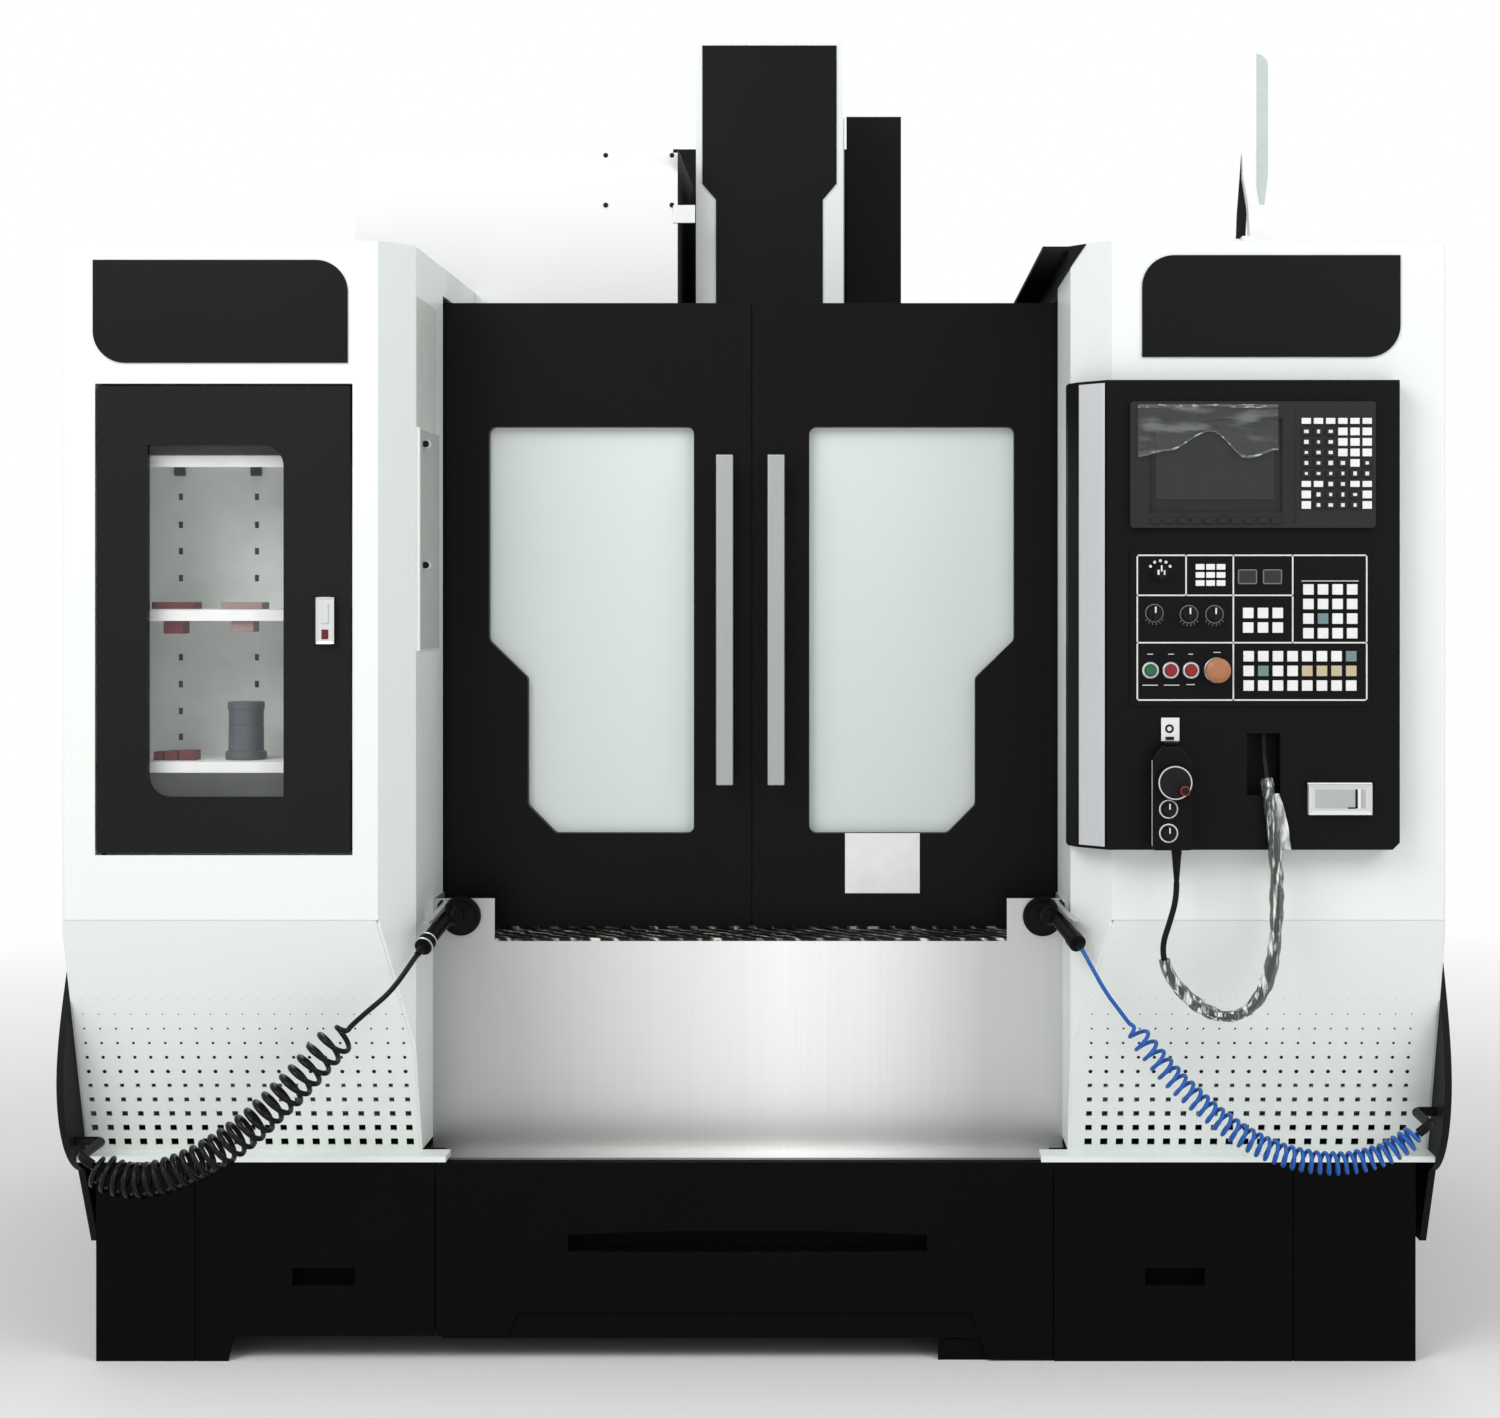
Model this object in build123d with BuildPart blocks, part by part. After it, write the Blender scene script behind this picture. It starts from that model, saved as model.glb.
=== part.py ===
from build123d import *
import os
from math import atan2, cos, hypot, pi, radians, sin, tan

os.makedirs("parts", exist_ok=True)

# Vertical machining centre, millimetres. X to the right, Y to the back, Z up.
# The origin lies on the floor under the middle of the machine.

# Main planes
centre_x = -20          # middle of the doorway, the doors and the drawer
cover_side_x = 1178     # outer faces of the white covers
panel_side_x = 1190     # outer faces of the black side panels
base_side_x = 1144      # outer faces of the base
cover_front_y = -1075   # front face of the white covers
cover_back_y = -740     # where the covers end, ahead of the doors
cover_top_z = 1932
cover_sheet = 4
rear_y = 1000           # back of the enclosure
face_gap = 0.3          # running clearance between sliding or turning faces

# Doorway and its chamfered cheeks
doorway_left_x = -588
doorway_right_x = 545
cheek_depth = 73
left_cheek_width = 51
right_cheek_width = 64

# Lower slope of the covers
kink_z = 776
slope_bottom_z = 355
slope_setback = 130
lip_front_y = -995
lip_thickness = 10
lip_reach = 50          # how far the lip runs on under the apron

# Perforation, largest at the bottom
hole_pitch = 27.5
hole_columns = 21
hole_rows = 5
hole_bottom = 13
hole_step = 1.4
hole_edge = 16
left_hole_x = -608      # the column next to the doorway
right_hole_x = 580.5

# Base
base_top_z = slope_bottom_z - lip_thickness
base_sheet = 4
base_raise_z = 44
left_foot_x = -915
right_foot_x = 316
notch_half = 393
notch_top_z = 85
notch_flare = 30
seam_outer = 952        # distance of the outer seams from the centre line
drawer_half = 535
seam_gap = 2

# Doors
door_front_y = -725
door_thickness = 28
door_bottom_z = 717
door_top_z = 1869
door_half_gap = 1.5
door_width = 588
glass_thickness = 6
glass_rebate = 10

# Spindle line and table
spindle_x = -4
spindle_y = -120
nose_z = 1500
column_front_y = 420
deck_z = 560
table_length = 1000
table_width = 500
table_top_z = 880
table_thickness = 60
slot_width = 18
slot_pitch = 100
slot_count = 5
rail_width = 45
rail_height = 38


def front_plane(y):
    return Plane(origin=(0, y, 0), x_dir=(1, 0, 0), z_dir=(0, -1, 0))


def block(x_range, y_range, z_range, mode=Mode.ADD):
    middle = [(low + high) / 2 for low, high in (x_range, y_range, z_range)]
    size = [high - low for low, high in (x_range, y_range, z_range)]
    with Locations(tuple(middle)):
        Box(size[0], size[1], size[2], mode=mode)


def outline_face(plane, points):
    with BuildSketch(plane) as outline:
        with BuildLine():
            Polyline(*points, close=True)
        make_face()
    return outline.sketch


def disc_face(plane, x, y, radius):
    with BuildSketch(plane) as disc:
        with Locations((x, y)):
            Circle(radius)
    return disc.sketch


def front_plate(points, y_front, thickness, mode=Mode.ADD):
    extrude(outline_face(front_plane(y_front), points), amount=-thickness, mode=mode)


def plan_plate(points, z_low, height, mode=Mode.ADD):
    extrude(outline_face(Plane.XY.offset(z_low), points), amount=height, mode=mode)


def side_plate(points, x_low, width, mode=Mode.ADD):
    extrude(outline_face(Plane.YZ.offset(x_low), points), amount=width, mode=mode)


def round_pin(x, z, y_front, radius, length, mode=Mode.ADD):
    extrude(disc_face(front_plane(y_front), x, z, radius), amount=-length, mode=mode)


def upright_pin(x, y, z_low, radius, height, mode=Mode.ADD):
    extrude(disc_face(Plane.XY.offset(z_low), x, y, radius), amount=height, mode=mode)


def cross_pin(y, z, x_low, radius, length, mode=Mode.ADD):
    extrude(disc_face(Plane.YZ.offset(x_low), y, z, radius), amount=length, mode=mode)


def finish(node, name):
    node.part.label = name
    export_step(node.part, f"parts/{name}.step")


# Bed casting, hollow below on both sides of a rib, with its guide rails and screw
bed_half = 560
bed_front_y = -640
bed_back_y = 900
bed_bottom_z = 60
bed_wall = 60
y_rail_half = 300
y_rail_span = (-600, 340)
y_screw_radius = 16

with BuildPart() as bed_casting:
    side_plate(
        [
            (bed_front_y, bed_bottom_z),
            (bed_back_y, bed_bottom_z),
            (bed_back_y, deck_z),
            (bed_front_y + 20, deck_z),
            (bed_front_y, deck_z - 60),
        ],
        spindle_x - bed_half,
        2 * bed_half,
    )
    pocket_x = (2 * bed_half - 3 * bed_wall) / 2
    pocket_y = bed_back_y - bed_front_y - 2 * bed_wall
    with Locations((spindle_x, (bed_front_y + bed_back_y) / 2, bed_bottom_z)):
        with GridLocations(pocket_x + bed_wall, 1, 2, 1):
            Box(
                pocket_x,
                pocket_y,
                deck_z - bed_bottom_z - 2 * bed_wall,
                align=(Align.CENTER, Align.CENTER, Align.MIN),
                mode=Mode.SUBTRACT,
            )
    for side in (-1, 1):
        rail_x = spindle_x + side * y_rail_half
        block(
            (rail_x - rail_width / 2, rail_x + rail_width / 2),
            y_rail_span,
            (deck_z, deck_z + rail_height),
        )
    for y in y_rail_span:
        block((spindle_x - 50, spindle_x + 50), (y - 20, y + 20), (deck_z, deck_z + 46))
    with BuildSketch(Plane.XZ.offset(-y_rail_span[1])):
        with Locations((spindle_x, deck_z + 28)):
            Circle(y_screw_radius)
    extrude(amount=y_rail_span[1] - y_rail_span[0])
finish(bed_casting, "bed_casting")

# Six levelling feet under the bed
foot_radius = 55
foot_pad = 22
with BuildPart() as leveling_feet:
    for x in (spindle_x - bed_half + 70, spindle_x + bed_half - 70):
        for y in (bed_front_y + 60, 130, bed_back_y - 60):
            upright_pin(x, y, 0, foot_radius, foot_pad)
    chamfer(leveling_feet.edges().group_by(Axis.Z)[-1], 6)
    for x in (spindle_x - bed_half + 70, spindle_x + bed_half - 70):
        for y in (bed_front_y + 60, 130, bed_back_y - 60):
            upright_pin(x, y, foot_pad, 20, bed_bottom_z - foot_pad)
finish(leveling_feet, "leveling_feet")

# Column, flared foot, open pocket at the back, rails in front, lift motor on top
column_half = 260
column_foot_half = 400
column_top_z = 2290
column_depth = 460
column_wall = 45
motor_cover_height = 83
motor_cover_sheet = 3
z_rail_half = 130
z_rail_span = (1130, 2255)
duct_left_x = 150
duct_foot_left_x = 168
duct_foot_depth = 50
duct_right_x = 273
duct_front_y = 225
duct_bottom_z = 1300
duct_top_z = 2410

with BuildPart() as column_casting:
    with BuildSketch(front_plane(column_front_y)):
        with BuildLine():
            Polyline(
                (spindle_x - column_foot_half, deck_z),
                (spindle_x + column_foot_half, deck_z),
                (spindle_x + column_foot_half, deck_z + 90),
                (spindle_x + column_half, deck_z + 430),
                (spindle_x + column_half, column_top_z),
                (spindle_x - column_half, column_top_z),
                (spindle_x - column_half, deck_z + 430),
                (spindle_x - column_foot_half, deck_z + 90),
                close=True,
            )
        make_face()
    extrude(amount=-column_depth)
    block(
        (spindle_x - column_half + column_wall, spindle_x + column_half - column_wall),
        (column_front_y + column_wall, column_front_y + column_depth),
        (deck_z + 120, column_top_z - 60),
        Mode.SUBTRACT,
    )
    for side in (-1, 1):
        rail_x = spindle_x + side * z_rail_half
        block(
            (rail_x - rail_width / 2, rail_x + rail_width / 2),
            (column_front_y - rail_height, column_front_y),
            z_rail_span,
        )
    for z in z_rail_span:
        block(
            (spindle_x - 45, spindle_x + 45),
            (column_front_y - 42, column_front_y),
            (z - 18, z + 18),
        )
    upright_pin(spindle_x, column_front_y - 28, z_rail_span[0], 16, z_rail_span[1] - z_rail_span[0])
    # sheet cover round the lift motor's foot
    cover_x = (spindle_x - column_half + 8, spindle_x + column_half - 8)
    cover_y = (column_front_y + 2, column_front_y + column_depth - 8)
    cover_z = (column_top_z, column_top_z + motor_cover_height)
    block(cover_x, cover_y, cover_z)
    block(
        (cover_x[0] + motor_cover_sheet, cover_x[1] - motor_cover_sheet),
        (cover_y[0] + motor_cover_sheet, cover_y[1] - motor_cover_sheet),
        cover_z,
        Mode.SUBTRACT,
    )
    block(
        (spindle_x - 75, spindle_x + 75),
        (column_front_y + 10, column_front_y + 160),
        (column_top_z, column_top_z + 150),
    )
    # cable duct on the right of the rails, narrower beside the head's guide blocks
    block(
        (duct_left_x, duct_right_x),
        (duct_front_y, column_front_y - duct_foot_depth),
        (duct_bottom_z, duct_top_z),
    )
    block(
        (duct_foot_left_x, duct_right_x),
        (column_front_y - duct_foot_depth, column_front_y),
        (duct_bottom_z, duct_top_z),
    )
    fillet(
        column_casting.edges().filter_by(Axis.X).filter_by_position(
            Axis.Y, duct_front_y - 1, duct_front_y + 1
        ),
        8,
    )
finish(column_casting, "column_casting")

# Saddle: guide blocks below, guide blocks above for the table rails
saddle_half_x = 420
saddle_half_y = 255
saddle_low_z = 626
saddle_top_z = 760
guide_block = 100
x_rail_half = 130
rail_gap = face_gap
table_rail_height = 34
table_block_reach = 105
table_block_half = 45

with BuildPart() as saddle:
    block(
        (spindle_x - saddle_half_x, spindle_x + saddle_half_x),
        (spindle_y - saddle_half_y, spindle_y + saddle_half_y),
        (saddle_low_z, saddle_top_z),
    )
    chamfer(saddle.edges().filter_by(Axis.Y).group_by(Axis.Z)[0], 30)
    for side in (-1, 1):
        rail_x = spindle_x + side * y_rail_half
        for end in (-1, 1):
            y = spindle_y + end * (saddle_half_y - 80)
            block(
                (rail_x - guide_block / 2, rail_x + guide_block / 2),
                (y - 60, y + 60),
                (deck_z + 8, saddle_low_z),
            )
            x = spindle_x + end * table_block_reach
            rail_y = spindle_y + side * x_rail_half
            block(
                (x - table_block_half, x + table_block_half),
                (rail_y - guide_block / 2, rail_y + guide_block / 2),
                (saddle_top_z, table_top_z - table_thickness - 6),
            )
    for side in (-1, 1):
        rail_x = spindle_x + side * y_rail_half
        block(
            (rail_x - rail_width / 2 - rail_gap, rail_x + rail_width / 2 + rail_gap),
            (spindle_y - saddle_half_y, spindle_y + saddle_half_y),
            (deck_z, deck_z + rail_height + rail_gap),
            Mode.SUBTRACT,
        )
        rail_y = spindle_y + side * x_rail_half
        block(
            (spindle_x - saddle_half_x, spindle_x + saddle_half_x),
            (rail_y - rail_width / 2 - rail_gap, rail_y + rail_width / 2 + rail_gap),
            (
                table_top_z - table_thickness - table_rail_height - rail_gap,
                table_top_z - table_thickness,
            ),
            Mode.SUBTRACT,
        )
    # ribs along the saddle's top, between the guide blocks
    for side in (-1, 1):
        block(
            (spindle_x - 180, spindle_x + 180),
            (spindle_y + side * 215 - 12, spindle_y + side * 215 + 12),
            (saddle_top_z, saddle_top_z + 24),
        )
finish(saddle, "saddle")

# Table with five T-slots, and its two rails below
slot_neck = 22
slot_foot_width = 30
slot_foot_height = 12
coolant_groove = 14
with BuildPart() as worktable:
    block(
        (spindle_x - table_length / 2, spindle_x + table_length / 2),
        (spindle_y - table_width / 2, spindle_y + table_width / 2),
        (table_top_z - table_thickness, table_top_z),
    )
    chamfer(worktable.edges().filter_by(Axis.Z), 12)
    with BuildSketch(Plane.YZ.offset(spindle_x - table_length / 2)):
        with Locations((spindle_y, table_top_z - slot_neck / 2)):
            with GridLocations(slot_pitch, 1, slot_count, 1):
                Rectangle(slot_width, slot_neck)
        with Locations((spindle_y, table_top_z - slot_neck - slot_foot_height / 2)):
            with GridLocations(slot_pitch, 1, slot_count, 1):
                Rectangle(slot_foot_width, slot_foot_height)
    extrude(amount=table_length, mode=Mode.SUBTRACT)
    with BuildSketch(Plane.YZ.offset(spindle_x - table_length / 2)):
        for side in (-1, 1):
            with Locations(
                (spindle_y + side * (table_width / 2 - 25), table_top_z - coolant_groove / 2)
            ):
                Rectangle(coolant_groove, coolant_groove)
    extrude(amount=table_length, mode=Mode.SUBTRACT)
    for side in (-1, 1):
        rail_y = spindle_y + side * x_rail_half
        block(
            (spindle_x - table_length / 2 + 10, spindle_x + table_length / 2 - 10),
            (rail_y - rail_width / 2, rail_y + rail_width / 2),
            (
                table_top_z - table_thickness - table_rail_height,
                table_top_z - table_thickness,
            ),
        )
finish(worktable, "worktable")

# Headstock: guide blocks on the column rails, body, spindle housing and motor
head_half = 147
head_front_y = -272
head_back_y = 375
head_low_z = 1600
head_top_z = 1950
housing_radius = 95
housing_low_z = 1520
spindle_radius = 66
motor_half = 110
motor_height = 370
head_guide_half = 36

with BuildPart() as headstock:
    side_plate(
        [
            (head_front_y + 40, head_low_z),
            (head_front_y, head_low_z + 50),
            (head_front_y, head_top_z),
            (100, head_top_z),
            (200, head_top_z + 110),
            (head_back_y, head_top_z + 110),
            (head_back_y, head_low_z + 20),
            (60, head_low_z),
        ],
        spindle_x - head_half,
        2 * head_half,
    )
    upright_pin(spindle_x, spindle_y, housing_low_z, housing_radius, head_low_z - housing_low_z)
    chamfer(headstock.edges().group_by(Axis.Z)[0], 8)
    upright_pin(
        spindle_x,
        spindle_y,
        housing_low_z,
        spindle_radius + face_gap,
        head_top_z - housing_low_z,
        Mode.SUBTRACT,
    )
    block(
        (spindle_x - motor_half, spindle_x + motor_half),
        (spindle_y - motor_half, spindle_y + motor_half),
        (head_top_z, head_top_z + motor_height),
    )
    for side in (-1, 1):
        rail_x = spindle_x + side * z_rail_half
        for z in (head_low_z + 90, head_top_z):
            block(
                (rail_x - head_guide_half, rail_x + head_guide_half),
                (head_back_y, column_front_y - 8),
                (z - 55, z + 55),
            )
        block(
            (rail_x - rail_width / 2 - rail_gap, rail_x + rail_width / 2 + rail_gap),
            (column_front_y - rail_height - rail_gap, column_front_y),
            (head_low_z - 20, head_top_z + 110),
            Mode.SUBTRACT,
        )
    block(
        (spindle_x - 26, spindle_x + 26),
        (column_front_y - 52, column_front_y),
        (head_low_z - 20, head_top_z + 115),
        Mode.SUBTRACT,
    )
finish(headstock, "headstock")

# Tall head cover, white, with its black front plate
cover_half = 150
cover_skin = 3
head_cover_top_z = 2458
head_cover_low_z = 1890
head_cover_back_y = 100
plate_wide_half = 137
plate_narrow_half = 109
plate_step_z = 2169
plate_step_drop = 33
plate_skin = 3

with BuildPart() as head_cover:
    block(
        (spindle_x - cover_half, spindle_x + cover_half),
        (head_front_y - cover_skin, head_cover_back_y),
        (head_cover_low_z, head_cover_top_z),
    )
    fillet(head_cover.edges().group_by(Axis.Z)[-1].filter_by(Axis.Y), 8)
    offset(amount=-cover_skin, openings=head_cover.faces().sort_by(Axis.Z)[0])
    # its back wall stands on the head
    block(
        (spindle_x - cover_half + cover_skin, spindle_x + cover_half - cover_skin),
        (head_cover_back_y - cover_skin - 1, head_cover_back_y + 1),
        (head_cover_low_z - 1, head_top_z),
        Mode.SUBTRACT,
    )
    front_plate(
        [
            (spindle_x - plate_narrow_half, head_cover_low_z),
            (spindle_x + plate_narrow_half, head_cover_low_z),
            (spindle_x + plate_narrow_half, plate_step_z - plate_step_drop),
            (spindle_x + plate_wide_half, plate_step_z),
            (spindle_x + plate_wide_half, head_cover_top_z - 8),
            (spindle_x - plate_wide_half, head_cover_top_z - 8),
            (spindle_x - plate_wide_half, plate_step_z),
            (spindle_x - plate_narrow_half, plate_step_z - plate_step_drop),
        ],
        head_front_y - cover_skin - plate_skin,
        plate_skin,
    )
finish(head_cover, "head_cover")

# Spindle with a 7/24 taper and two drive keys
taper_radius = 22.2
taper_length = 65
taper_rate = 7 / 48
nose_chamfer = 6
with BuildPart() as spindle:
    with BuildSketch(Plane.XZ) as spindle_section:
        with BuildLine():
            Polyline(
                (taper_radius, nose_z),
                (spindle_radius - nose_chamfer, nose_z),
                (spindle_radius, nose_z + nose_chamfer),
                (spindle_radius, nose_z + 260),
                (13, nose_z + 260),
                (13, nose_z + taper_length),
                (taper_radius - taper_length * taper_rate, nose_z + taper_length),
                close=True,
            )
        make_face()
    revolve(axis=Axis.Z)
    for side in (-1, 1):
        block((side * 38 - 12, side * 38 + 12), (-8, 8), (nose_z - 7, nose_z))
spindle.part.locate(Location((spindle_x, spindle_y, 0)))
finish(spindle, "spindle")

# Tool magazine cover: shell with a chamfered top front edge
magazine_left_x = -826
magazine_right_x = -183
magazine_front_y = -385
magazine_back_y = 305
magazine_low_z = 1540
magazine_top_z = 2221
magazine_chamfer = 50
magazine_skin = 3
disc_y = -40
disc_z = 1880
pot_circle = 270
pot_count = 20
pot_radius = 31
pot_length = 90
disc_face_x = -600
carrier_x = -480
carrier_thickness = 12

with BuildPart() as magazine_cover:
    side_plate(
        [
            (magazine_front_y, magazine_low_z),
            (magazine_back_y, magazine_low_z),
            (magazine_back_y, magazine_top_z),
            (magazine_front_y + magazine_chamfer, magazine_top_z),
            (magazine_front_y, magazine_top_z - magazine_chamfer),
        ],
        magazine_left_x,
        magazine_right_x - magazine_left_x,
    )
    offset(amount=-magazine_skin, openings=magazine_cover.faces().sort_by(Axis.Z)[0])
    # the bracket from the column comes in through the back
    block(
        (-290, -180),
        (magazine_back_y - 10, magazine_back_y + 10),
        (magazine_low_z, 1870),
        Mode.SUBTRACT,
    )
finish(magazine_cover, "magazine_cover")

# Changer gearbox with the magazine's carrier plate and its bracket on the column
arm_reach = 300
arm_x = spindle_x - arm_reach
gearbox_half = 80
gearbox_low_z = 1560
gearbox_top_z = 1900
shaft_radius = 28
axle_radius = 30
arm_top_z = 1480

with BuildPart() as changer_gearbox:
    block(
        (arm_x - gearbox_half, arm_x + gearbox_half),
        (spindle_y - gearbox_half, 120),
        (gearbox_low_z, gearbox_top_z),
    )
    fillet(changer_gearbox.edges().filter_by(Axis.Z), 14)
    block(
        (carrier_x, carrier_x + carrier_thickness),
        (magazine_front_y + magazine_skin, magazine_back_y - magazine_skin),
        (magazine_low_z + 6, magazine_top_z - magazine_chamfer - magazine_skin),
    )
    block(
        (carrier_x + carrier_thickness, arm_x - gearbox_half + 14),
        (spindle_y - 40, 80),
        (1640, 1860),
    )
    block((-280, -190), (60, column_front_y), (1620, 1850))
    with BuildSketch(Plane.YZ.offset(carrier_x - 50)):
        with Locations((disc_y, disc_z)):
            Circle(70)
    extrude(amount=50)
    with BuildSketch(Plane.YZ.offset(carrier_x - 50)):
        with Locations((disc_y, disc_z)):
            Circle(axle_radius + face_gap)
    extrude(amount=62, mode=Mode.SUBTRACT)
    upright_pin(arm_x, spindle_y, gearbox_low_z, shaft_radius + face_gap, 170, Mode.SUBTRACT)
finish(changer_gearbox, "changer_gearbox")

# Magazine disc with its ring of tool pots
with BuildPart() as magazine_disc:
    with BuildSketch(Plane.YZ.offset(disc_face_x)):
        with Locations((disc_y, disc_z)):
            Circle(pot_circle)
            with PolarLocations(pot_circle * 0.62, 5):
                Circle(48, mode=Mode.SUBTRACT)
    extrude(amount=14)
    with BuildSketch(Plane.YZ.offset(disc_face_x - pot_length)):
        with Locations((disc_y, disc_z)):
            with PolarLocations(pot_circle, pot_count):
                Circle(pot_radius)
    extrude(amount=pot_length + 14)
    with BuildSketch(Plane.YZ.offset(disc_face_x - 20)):
        with Locations((disc_y, disc_z)):
            Circle(axle_radius + 30)
    extrude(amount=carrier_x - 50 - face_gap - disc_face_x + 20)
    with BuildSketch(Plane.YZ.offset(disc_face_x)):
        with Locations((disc_y, disc_z)):
            Circle(axle_radius)
    extrude(amount=carrier_x - disc_face_x + 10)
finish(magazine_disc, "magazine_disc")

# Tool change arm: a sliding shaft, and the turning arm with its two grippers
spigot_radius = 20
arm_thickness = 40
grip_radius = 32
with BuildPart() as arm_shaft:
    upright_pin(arm_x, spindle_y, arm_top_z + face_gap, shaft_radius, 225 - face_gap)
    upright_pin(arm_x, spindle_y, arm_top_z - 30, spigot_radius, 30 + face_gap)
finish(arm_shaft, "arm_shaft")

with BuildPart() as change_arm:
    upright_pin(arm_x, spindle_y, arm_top_z - arm_thickness, 52, arm_thickness)
    for way in (1, -1):
        arm_outline = [
            (-40, 0), (-26, 240), (-46, 262), (-46, 300), (-20, 344),
            (14, 350), (30, 330), (46, 250), (40, 0),
        ]
        plan_plate(
            [(arm_x + way * x, spindle_y + way * y) for x, y in arm_outline],
            arm_top_z - arm_thickness,
            arm_thickness,
        )
    for way in (1, -1):
        jaw_y = spindle_y + way * arm_reach
        mouth_y = spindle_y + way * (arm_reach + 6)
        low = arm_top_z - arm_thickness
        upright_pin(arm_x, jaw_y, low, grip_radius, arm_thickness, Mode.SUBTRACT)
        block(
            tuple(sorted((arm_x - way * 70, arm_x - way * 10))),
            (mouth_y - 25, mouth_y + 25),
            (low, arm_top_z),
            Mode.SUBTRACT,
        )
    upright_pin(
        arm_x, spindle_y, arm_top_z - 30 - face_gap, spigot_radius + face_gap,
        30 + face_gap, Mode.SUBTRACT,
    )
finish(change_arm, "change_arm")


# White cabinet covers beside the doorway
def cabinet_plan(outer_x, inner_x, cheek_width, back_y, shrink=0):
    way = 1 if inner_x > outer_x else -1
    cheek = shrink * tan(atan2(cheek_width, cheek_depth) / 2)
    side = shrink * tan(atan2(cheek_depth, cheek_width) / 2)
    return [
        (outer_x + way * shrink, back_y),
        (outer_x + way * shrink, cover_front_y + shrink),
        (inner_x - way * (cheek_width + side), cover_front_y + shrink),
        (inner_x - way * shrink, cover_front_y + cheek_depth + cheek),
        (inner_x - way * shrink, back_y),
    ]


left_name_box = (-1123, -690, 1723, 1898)
right_name_box = (660, 1099, 1733, 1906)
name_panel_thickness = 3
store_door = (-1116, -686, 890, 1684)
store_gap = 4
store_thickness = 18
store_proud = 2
frame_return = 26
frame_skin = 3
hinge_inset = 9
hinge_pin_radius = 4
channel_z = (1231, 1620)
channel_rise = 6
slope_run = hypot(slope_setback, kink_z - slope_bottom_z)


def cover_shell(cover, outer_x, inner_x, cheek_width):
    # walls from the kink up, closed on top and behind, open below
    plan_plate(
        cabinet_plan(outer_x, inner_x, cheek_width, cover_back_y),
        slope_bottom_z,
        cover_top_z - slope_bottom_z,
    )
    fillet(
        cover.edges().filter_by(Axis.Z).sort_by(Axis.Y)[:2].sort_by(Axis.X)[
            0 if outer_x < 0 else -1
        ],
        10,
    )
    fillet(cover.edges().group_by(Axis.Z)[-1].sort_by(Axis.Y)[0], 6)
    plan_plate(
        cabinet_plan(outer_x, inner_x, cheek_width, cover_back_y - cover_sheet, cover_sheet),
        slope_bottom_z,
        cover_top_z - cover_sheet - slope_bottom_z,
        Mode.SUBTRACT,
    )
    # the slope takes away the front below the kink
    low_x, high_x = sorted((outer_x, inner_x))
    side_plate(
        [
            (cover_front_y - 20, kink_z),
            (cover_front_y + cover_sheet / 2, kink_z),
            (cover_front_y + cover_sheet / 2 + slope_setback, slope_bottom_z),
            (cover_front_y - 20, slope_bottom_z),
        ],
        low_x,
        high_x - low_x,
        Mode.SUBTRACT,
    )
    block(
        (low_x + cover_sheet, high_x - cover_sheet),
        (cover_front_y - 1, cover_front_y + cover_sheet + 1),
        (kink_z - 20, kink_z),
        Mode.SUBTRACT,
    )


with BuildPart() as left_cabinet:
    cover_shell(left_cabinet, -cover_side_x, doorway_left_x, left_cheek_width)
    # opening for the store door, with a folded return all round
    left, right, low, high = store_door
    block(
        (left - store_gap - frame_skin, right + store_gap + frame_skin),
        (cover_front_y, cover_front_y + frame_return),
        (low - store_gap - frame_skin, high + store_gap + frame_skin),
    )
    block(
        (left - store_gap, right + store_gap),
        (cover_front_y - 10, cover_front_y + frame_return),
        (low - store_gap, high + store_gap),
        Mode.SUBTRACT,
    )
    upright_pin(
        left + hinge_inset,
        cover_front_y - store_proud + hinge_inset,
        low - store_gap - frame_skin,
        hinge_pin_radius + face_gap,
        high - low + 2 * (store_gap + frame_skin),
        Mode.SUBTRACT,
    )
    # raised vertical channel on the cheek wall
    block(
        (doorway_left_x, doorway_left_x + channel_rise),
        (cover_front_y + cheek_depth + 4, cover_front_y + cheek_depth + 192),
        channel_z,
    )
    fillet(
        left_cabinet.faces().sort_by(Axis.X)[-1].edges(),
        4,
    )
finish(left_cabinet, "left_cabinet")

with BuildPart() as right_cabinet:
    cover_shell(right_cabinet, cover_side_x, doorway_right_x, right_cheek_width)
finish(right_cabinet, "right_cabinet")

# Perforated sloping panels below the kink, with the lip that covers the base
slope_angle = atan2(slope_setback, kink_z - slope_bottom_z)
panel_skin = 3
slope_down = Vector(0, sin(slope_angle), -cos(slope_angle))
slope_out = Vector(0, -cos(slope_angle), -sin(slope_angle))
flute_gap = 0.5


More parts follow.
